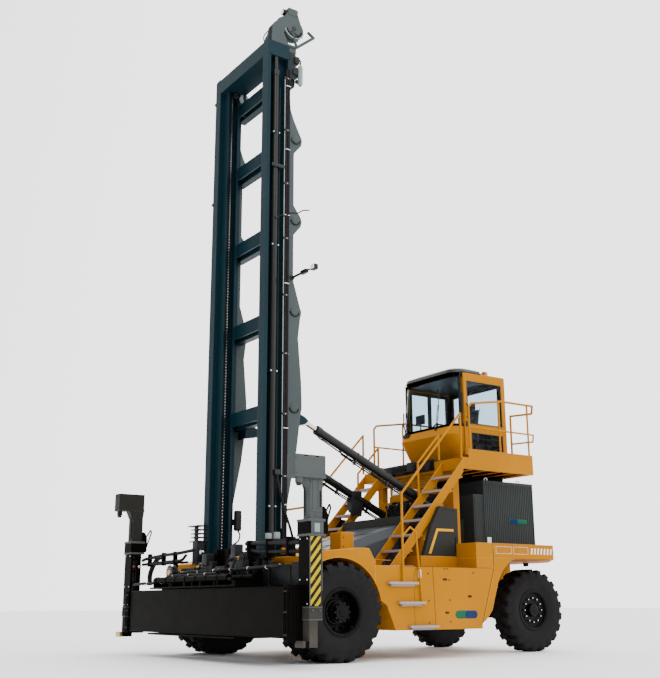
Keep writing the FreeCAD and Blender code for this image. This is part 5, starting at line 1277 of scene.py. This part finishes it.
def make_spreader_parts():
    """Valve bank, comb of fins, reel, boxes and pipes on the frame."""
    p = Piece("spreader_parts", "spreader", "spreader_black")
    plastic = "plastic_black"
    make_valve_bank(p)
    p.boxes(.004, plastic, *((-reach, -.78, -.865, -.702, z, z + .018)
                             for reach, z in zip((1.09, 1.04, 1.05, 1.03, 1.15), steps(1.78, .062, 5))))
    p.box(-.97, -.8, -.86, -.715, 1.42, 1.79, .012, plastic)
    for x in (1.205, 1.44):
        p.box(x, x + .055, -.79, -.71, 1.705, 1.8, .01, "casting_grey")
        p.box(x + .008, x + .045, -.8, -.77, 1.66, 1.71, .004, "cylinder_black")
    p.tube([(.4 + .05 * math.cos(a), -.89 - .012 * a / 6.28, 1.415 + .034 * math.sin(a))
            for a in steps(0, TAU / 14, 43)], .01, 8, material="wire_red")
    p.lathe((0, .03, .02, .036, .05, .03, .05, 0), (-.54, -.885, 1.6), -Y, 16, "steel_bright")
    for points, r in END_HOSES:
        p.hose(points, r, 14, 5)
    p.boxes(.02, plastic, (1.02, 1.46, -.88, -.79, 1.04, 1.4), (1.5, 2.02, -.87, -.79, 1.05, 1.33),
            (2.06, 2.4, -.88, -.79, 1.04, 1.36), (-1.66, -1.36, -.88, -.79, 1.04, 1.34))
    p.boxes(.016, plastic, (-.5, -.05, -.985, -.885, 1.08, 1.44), (.02, .34, -.97, -.885, 1.1, 1.36),
            (.5, .92, -.985, -.885, 1.07, 1.52), (-.32, -.16, -1.02, -.885, 1.38, 1.56),
            (.6, .74, -1.02, -.885, 1.46, 1.66))
    p.boxes(.012, None, *((x, x + .05, -1.04, -.9, 1.425, 1.69) for x in (1.1, 1.62, 2.16)))
    p.boxes(.01, None, *((x, x + .045, -1.035, -.965, 1.425, 1.64) for x in (-2.3, -1.75, -1.32)))
    p.box(.985, 1.62, -.905, -.7, 1.655, 1.68, .008)
    p.box(-.94, -.88, -.85, -.8, 1.78, 2.03, .006, plastic)
    p.boxes(.006, None, (-1.25, -1.13, -1.1, -1.04, 1.06, 1.25), (.9, 2.24, -.985, -.955, 1.43, 1.465),
            (1.3, 1.37, -.985, -.925, 1.06, 1.46), (-2.35, -.9, -.985, -.955, 1.44, 1.475),
            (-1.4, -1.33, -.985, -.925, 1.06, 1.46))
    for k, (x, z) in enumerate(HOSE_ENDS):
        sway = (-1) ** k
        p.lathe((0, .026, .022, .026, .026, .016, .052, .016, .055, 0), (x, -.985, z), -Y, 12,
                ("steel_bright", "brass", "cylinder_black")[k % 3])
        p.hose([(x, -1.03, z), (x + .02, -1.06, z - .04), (x + .03 * sway, -1.075, z - .12),
                (x + .05 * sway, -1.045, 1.18)], .011 + .003 * (k % 2), 9)
    p.done()


def make_arm_trim():
    """Ribs on the beams' ends, bolts, stripes, hoses and flanges on both towers."""
    for side, label, front, back in ((1, "left", -1.395, -1.163), (-1, "right", -1.173, -.985)):
        p = Piece("arm_trim_" + label, "arm_" + label, "spreader_black", side)
        out = X * side
        if side > 0:
            p.boxes(.003, None, *((2.798, 2.812, y, y + .016, .4, 1) for y in (-1.377, -1.32, -1.265)))
        p.boxes(.003, None, *((x, x + .013, front - .012, front + .002, .36, 1.01) for x in (2.7, 2.742, 2.782)),
                (2.688, 2.803, front - .008, back, 1.028, 1.04))
        for xs, zs, y, radius, height, material in (
                ((2.722, 2.766), (.42, .7, .96), front - .002, .013, .01, "cylinder_black"),
                ((2.73, 2.9), (1.1, 1.62), TOWER_FRONT, .012, .009, "steel_bright"),
                ((2.74, 2.78, 2.9), (.8,), TOWER_FRONT, .011, .009, "steel_bright")):
            p.bolts([(side * x, y, z) for x in xs for z in zs], -Y, radius, height, material)
        p.box(2.949, 2.953, TOWER_FRONT + .014, TOWER_BACK - .012, .775, 1.65, .001, "hazard")
        p.box(2.948, 2.956, TOWER_FRONT - .001, TOWER_FRONT + .013, .77, 1.658, .002, "tower_grey")
        p.boxes(.006, "tower_grey", *((2.674, 2.968, -1.191, -.931, z0, z1)
                                      for z0, z1 in ((1.652, 1.682), (1.838, 1.874))))
        p.box(2.962, 2.9655, -1.155, -.96, 1.684, 1.836, .003, "tower_grey")
        p.box(2.965, 2.9675, -1.1, -1.02, 1.705, 1.815, .002, "casting_grey")
        p.bolts([(side * 2.968, y, z) for y in (-1.16, -1.06, -.965) for z in (1.667, 1.856)], out, .01, .007,
                "tower_grey")
        p.bolts([(side * 2.968, y, .72) for y in (-1.13, -1.02)], out, .013, .009, "tower_grey")
        p.boxes(.004, "tower_grey", *((2.686, 2.96, TOWER_FRONT - .01, TOWER_BACK + .01, z0, z1)
                                      for z0, z1 in ((.598, .615), (.752, .768))))
        p.box(2.775, 2.955, TOWER_FRONT - .108, TOWER_FRONT - .06, .268, .35, .006,
              "brass" if side < 0 else "cover_dark")
        if side > 0:
            p.boxes(.006, "cover_dark", (2.68, 2.961, TOWER_FRONT - .011, TOWER_BACK + .011, .616, .751),
                    (2.777, 2.953, TOWER_FRONT - .003, -1.045, .267, .604))
            p.box(2.948, 2.954, TOWER_BACK - .012, TOWER_BACK + .002, .77, 1.658, .002, "cover_dark")
        for y, z0, z1, r in ((-1.12, 1.02, 1.62, .012), (-1.08, 1.06, 1.58, .009)):
            p.hose([(side * 2.684, y, z0), (side * 2.684, y, z1)], r, 10, 0)
        p.boxes(.004, None, *((2.668, 2.692, -1.14, -1.06, z, z + .03) for z in (1.15, 1.35, 1.55)))
        for y, material in ((-1.02, "steel_bright"), (-1.12, "wire_red")):
            p.lathe((0, .02, .02, .02, .026, .012, .05, .012, .05, 0), (side * 2.69, y, 1.44), -out, 12,
                    material)
        p.hose([(side * 2.82, y, z) for y, z in ((-.875, 1.74), (-.835, 1.78), (-.745, 2.04), (-.765, 2.09),
                                                 (-.815, 2), (-.86, 1.95), (-.874, 1.93))], .012, 10, 5)
        p.done()


def make_beam_trim():
    """Edge flanges and the end plate of the front beam, and wear pads on the frame; its face carries no lettering."""
    p = Piece("front_beam_trim", "arm_left", "spreader_black")
    p.boxes(.003, None, *((-2.078, 2.69, -1.396, -1.36, z, z + .014) for z in (.378, 1.008)))
    p.box(-2.086, -2.07, -1.394, -1.21, .384, 1.016, .004)
    p.done()
    p = Piece("frame_trim", "spreader", "spreader_black")
    p.boxes(.004, None, *((x - .012, x + .012, -1.15, -.905, .4, 1.06) for x in (-1.41, -.44, .44, 1.4)))
    p.done()


def make_head_trim():
    """Notches, plates and bolts of the tower heads, and the ribs of their posts."""
    # the right head's trim is darker than the left's: painted shade
    for side, label, material in ((1, "left", "tower_grey"), (-1, "right", "cover_dark")):
        box = Box("head_" + label)
        out = X * side
        p = Piece("head_trim_" + label, "head_" + label, "spreader_black", side)
        x1, z1 = 2.97, box.z1
        low, high = 2.46, z1 - .05
        p.boxes(.001, "seam_dark", *((x1 - .004, x1 + .002, y - .028, y + .028, z1 - .022, z1 - .004)
                                     for y in (-1.24, -1.06)))
        p.box(x1 - .05, x1 + .003, -1.168, -1.14, z1 - .006, z1 - .001, .001, material)
        p.bolts([(side * x1, y, z) for y in (-1.385, -.95) for z in (low, high)], out, .01, .007, material)
        p.bolts([(side * x, box.y0, z) for x in (2.8, 2.94) for z in (low, high)], -Y, .012, .004, material)
        p.boxes(.002, material, (2.924, 2.931, -1.105, -1.085, 1.975, 2.39),
                (2.924, 2.931, -1.02, -1.004, 1.975, 2.39), (2.924, 2.933, -1.135, -.955, 1.965, 1.985))
        p.box(2.924, 2.933, -.99, -.975, 2.03, 2.24, .002, "seam_dark")
        p.bolts([(side * 2.925, y, z) for y, z in ((-1.06, 1.93), (-1.12, 2.34), (-.965, 2.33))], out, .012, .009,
                material)
        p.hose([(side * 2.8, -1.146, 1.92), (side * 2.8, -1.148, 2.2), (side * 2.8, -1.17, 2.385)], .008, 8, 3)
        p.lathe((0, .038, .02, .04, .04, .03, .045, 0), (side * 2.9265, -1.325, 2.332), -Z, 18,
                "cylinder_black")
        p.done()


# ---- tilt cylinders ---------------------------------------------------------------------
TILT_PIN, TILT_EYE = Vector((0, 2.95, 2.335)), Vector((0, .19, 3.62))
TILT_RADIUS = .07
TILT_X = .72
GLAND_SHORT = .26              # from the eye back to the gland


def make_tilt_trim():
    """Glands, clamped hoses below the barrels, their end fittings, and the bracket round the right barrel."""
    run = (TILT_EYE - TILT_PIN).normalized()
    down = Vector((0, run.z, -run.y))
    if down.z > 0:
        down = -down
    reach = (TILT_EYE - TILT_PIN).length - GLAND_SHORT
    r = TILT_RADIUS
    for side, label in ((1, "left"), (-1, "right")):
        p = Piece("tilt_trim_" + label, "tilt_barrel_" + label, "cylinder_black")
        base = TILT_PIN + X * side * TILT_X
        p.lathe((-.1, r, -.095, r + .009, -.004, r + .009, .006, r, .01, r - .012, -.1, r - .012),
                base + run * reach, run, 32)
        p.lathe((0, r + .008, .05, r + .008, .055, r, 0, r - .004), base + run * .075, run, 32)
        for offset, far in ((.03, .13), (.058, .62)):
            low = base + down * (r + offset) + X * side * .012
            top = base + down * (r - .004) + run * (reach - far + .06)
            wave = [low + run * (.1 + (reach - far - .16) * k / 9) + down * .006 * math.sin(k * 1.9)
                    for k in range(10)]
            p.hose([base + down * (r - .004) + run * .06, *wave, low + run * (reach - far + .02), top], .0125, 10, 3)
            p.lathe((-.022, .018, .022, .018, .022, .01, -.022, .01), top - down * .004, down, 10)
        for share in (.16, .42, .68):
            spot = base + run * (reach * share)
            p.lathe((-.016, r + .006, .016, r + .006, .016, r - .004, -.016, r - .004), spot, run, 28)
            centre = spot + down * (r + .042) + X * side * .012
            p.skin([[centre + X * a + down * b + run * t
                     for a, b in ((-.024, -.046), (.024, -.046), (.024, .036), (-.024, .036))]
                    for t in (-.014, .014)])
        if side < 0:
            plate = [(2.125, 2.665), (2.37, 2.555), (2.345, 2.345), (2.215, 2.33), (2.12, 2.44)]
            p.prism(plate, "x", -.795, -.645, .014, "plastic_black")
            p.box(-.8, -.64, 2.13, 2.35, 2.64, 2.765, .03, "plastic_black")
        p.done()


for make in (make_camera, make_light, make_floor, dress_cad_nodes, make_tyres, make_rim_trim, make_side_trim,
             make_tail_trim, make_rear_underside, make_treads, make_hood_trim, make_cover_trim, make_battery_trim,
             make_fender_trim, make_axle_trim, make_cab_seals, make_cab_lining, make_steering_wheel, make_seat,
             make_door_trim, make_beacon, make_roof_trim, make_platform_trim, make_gantry_parts, make_leaf_chains,
             make_column_trim, make_mast_hoses, make_mast_lamp_arms, make_head_parts, make_small_pulley,
             make_column_top_parts, make_spreader_hoses, make_spreader_parts, make_arm_trim, make_beam_trim,
             make_head_trim, make_tilt_trim):
    make()
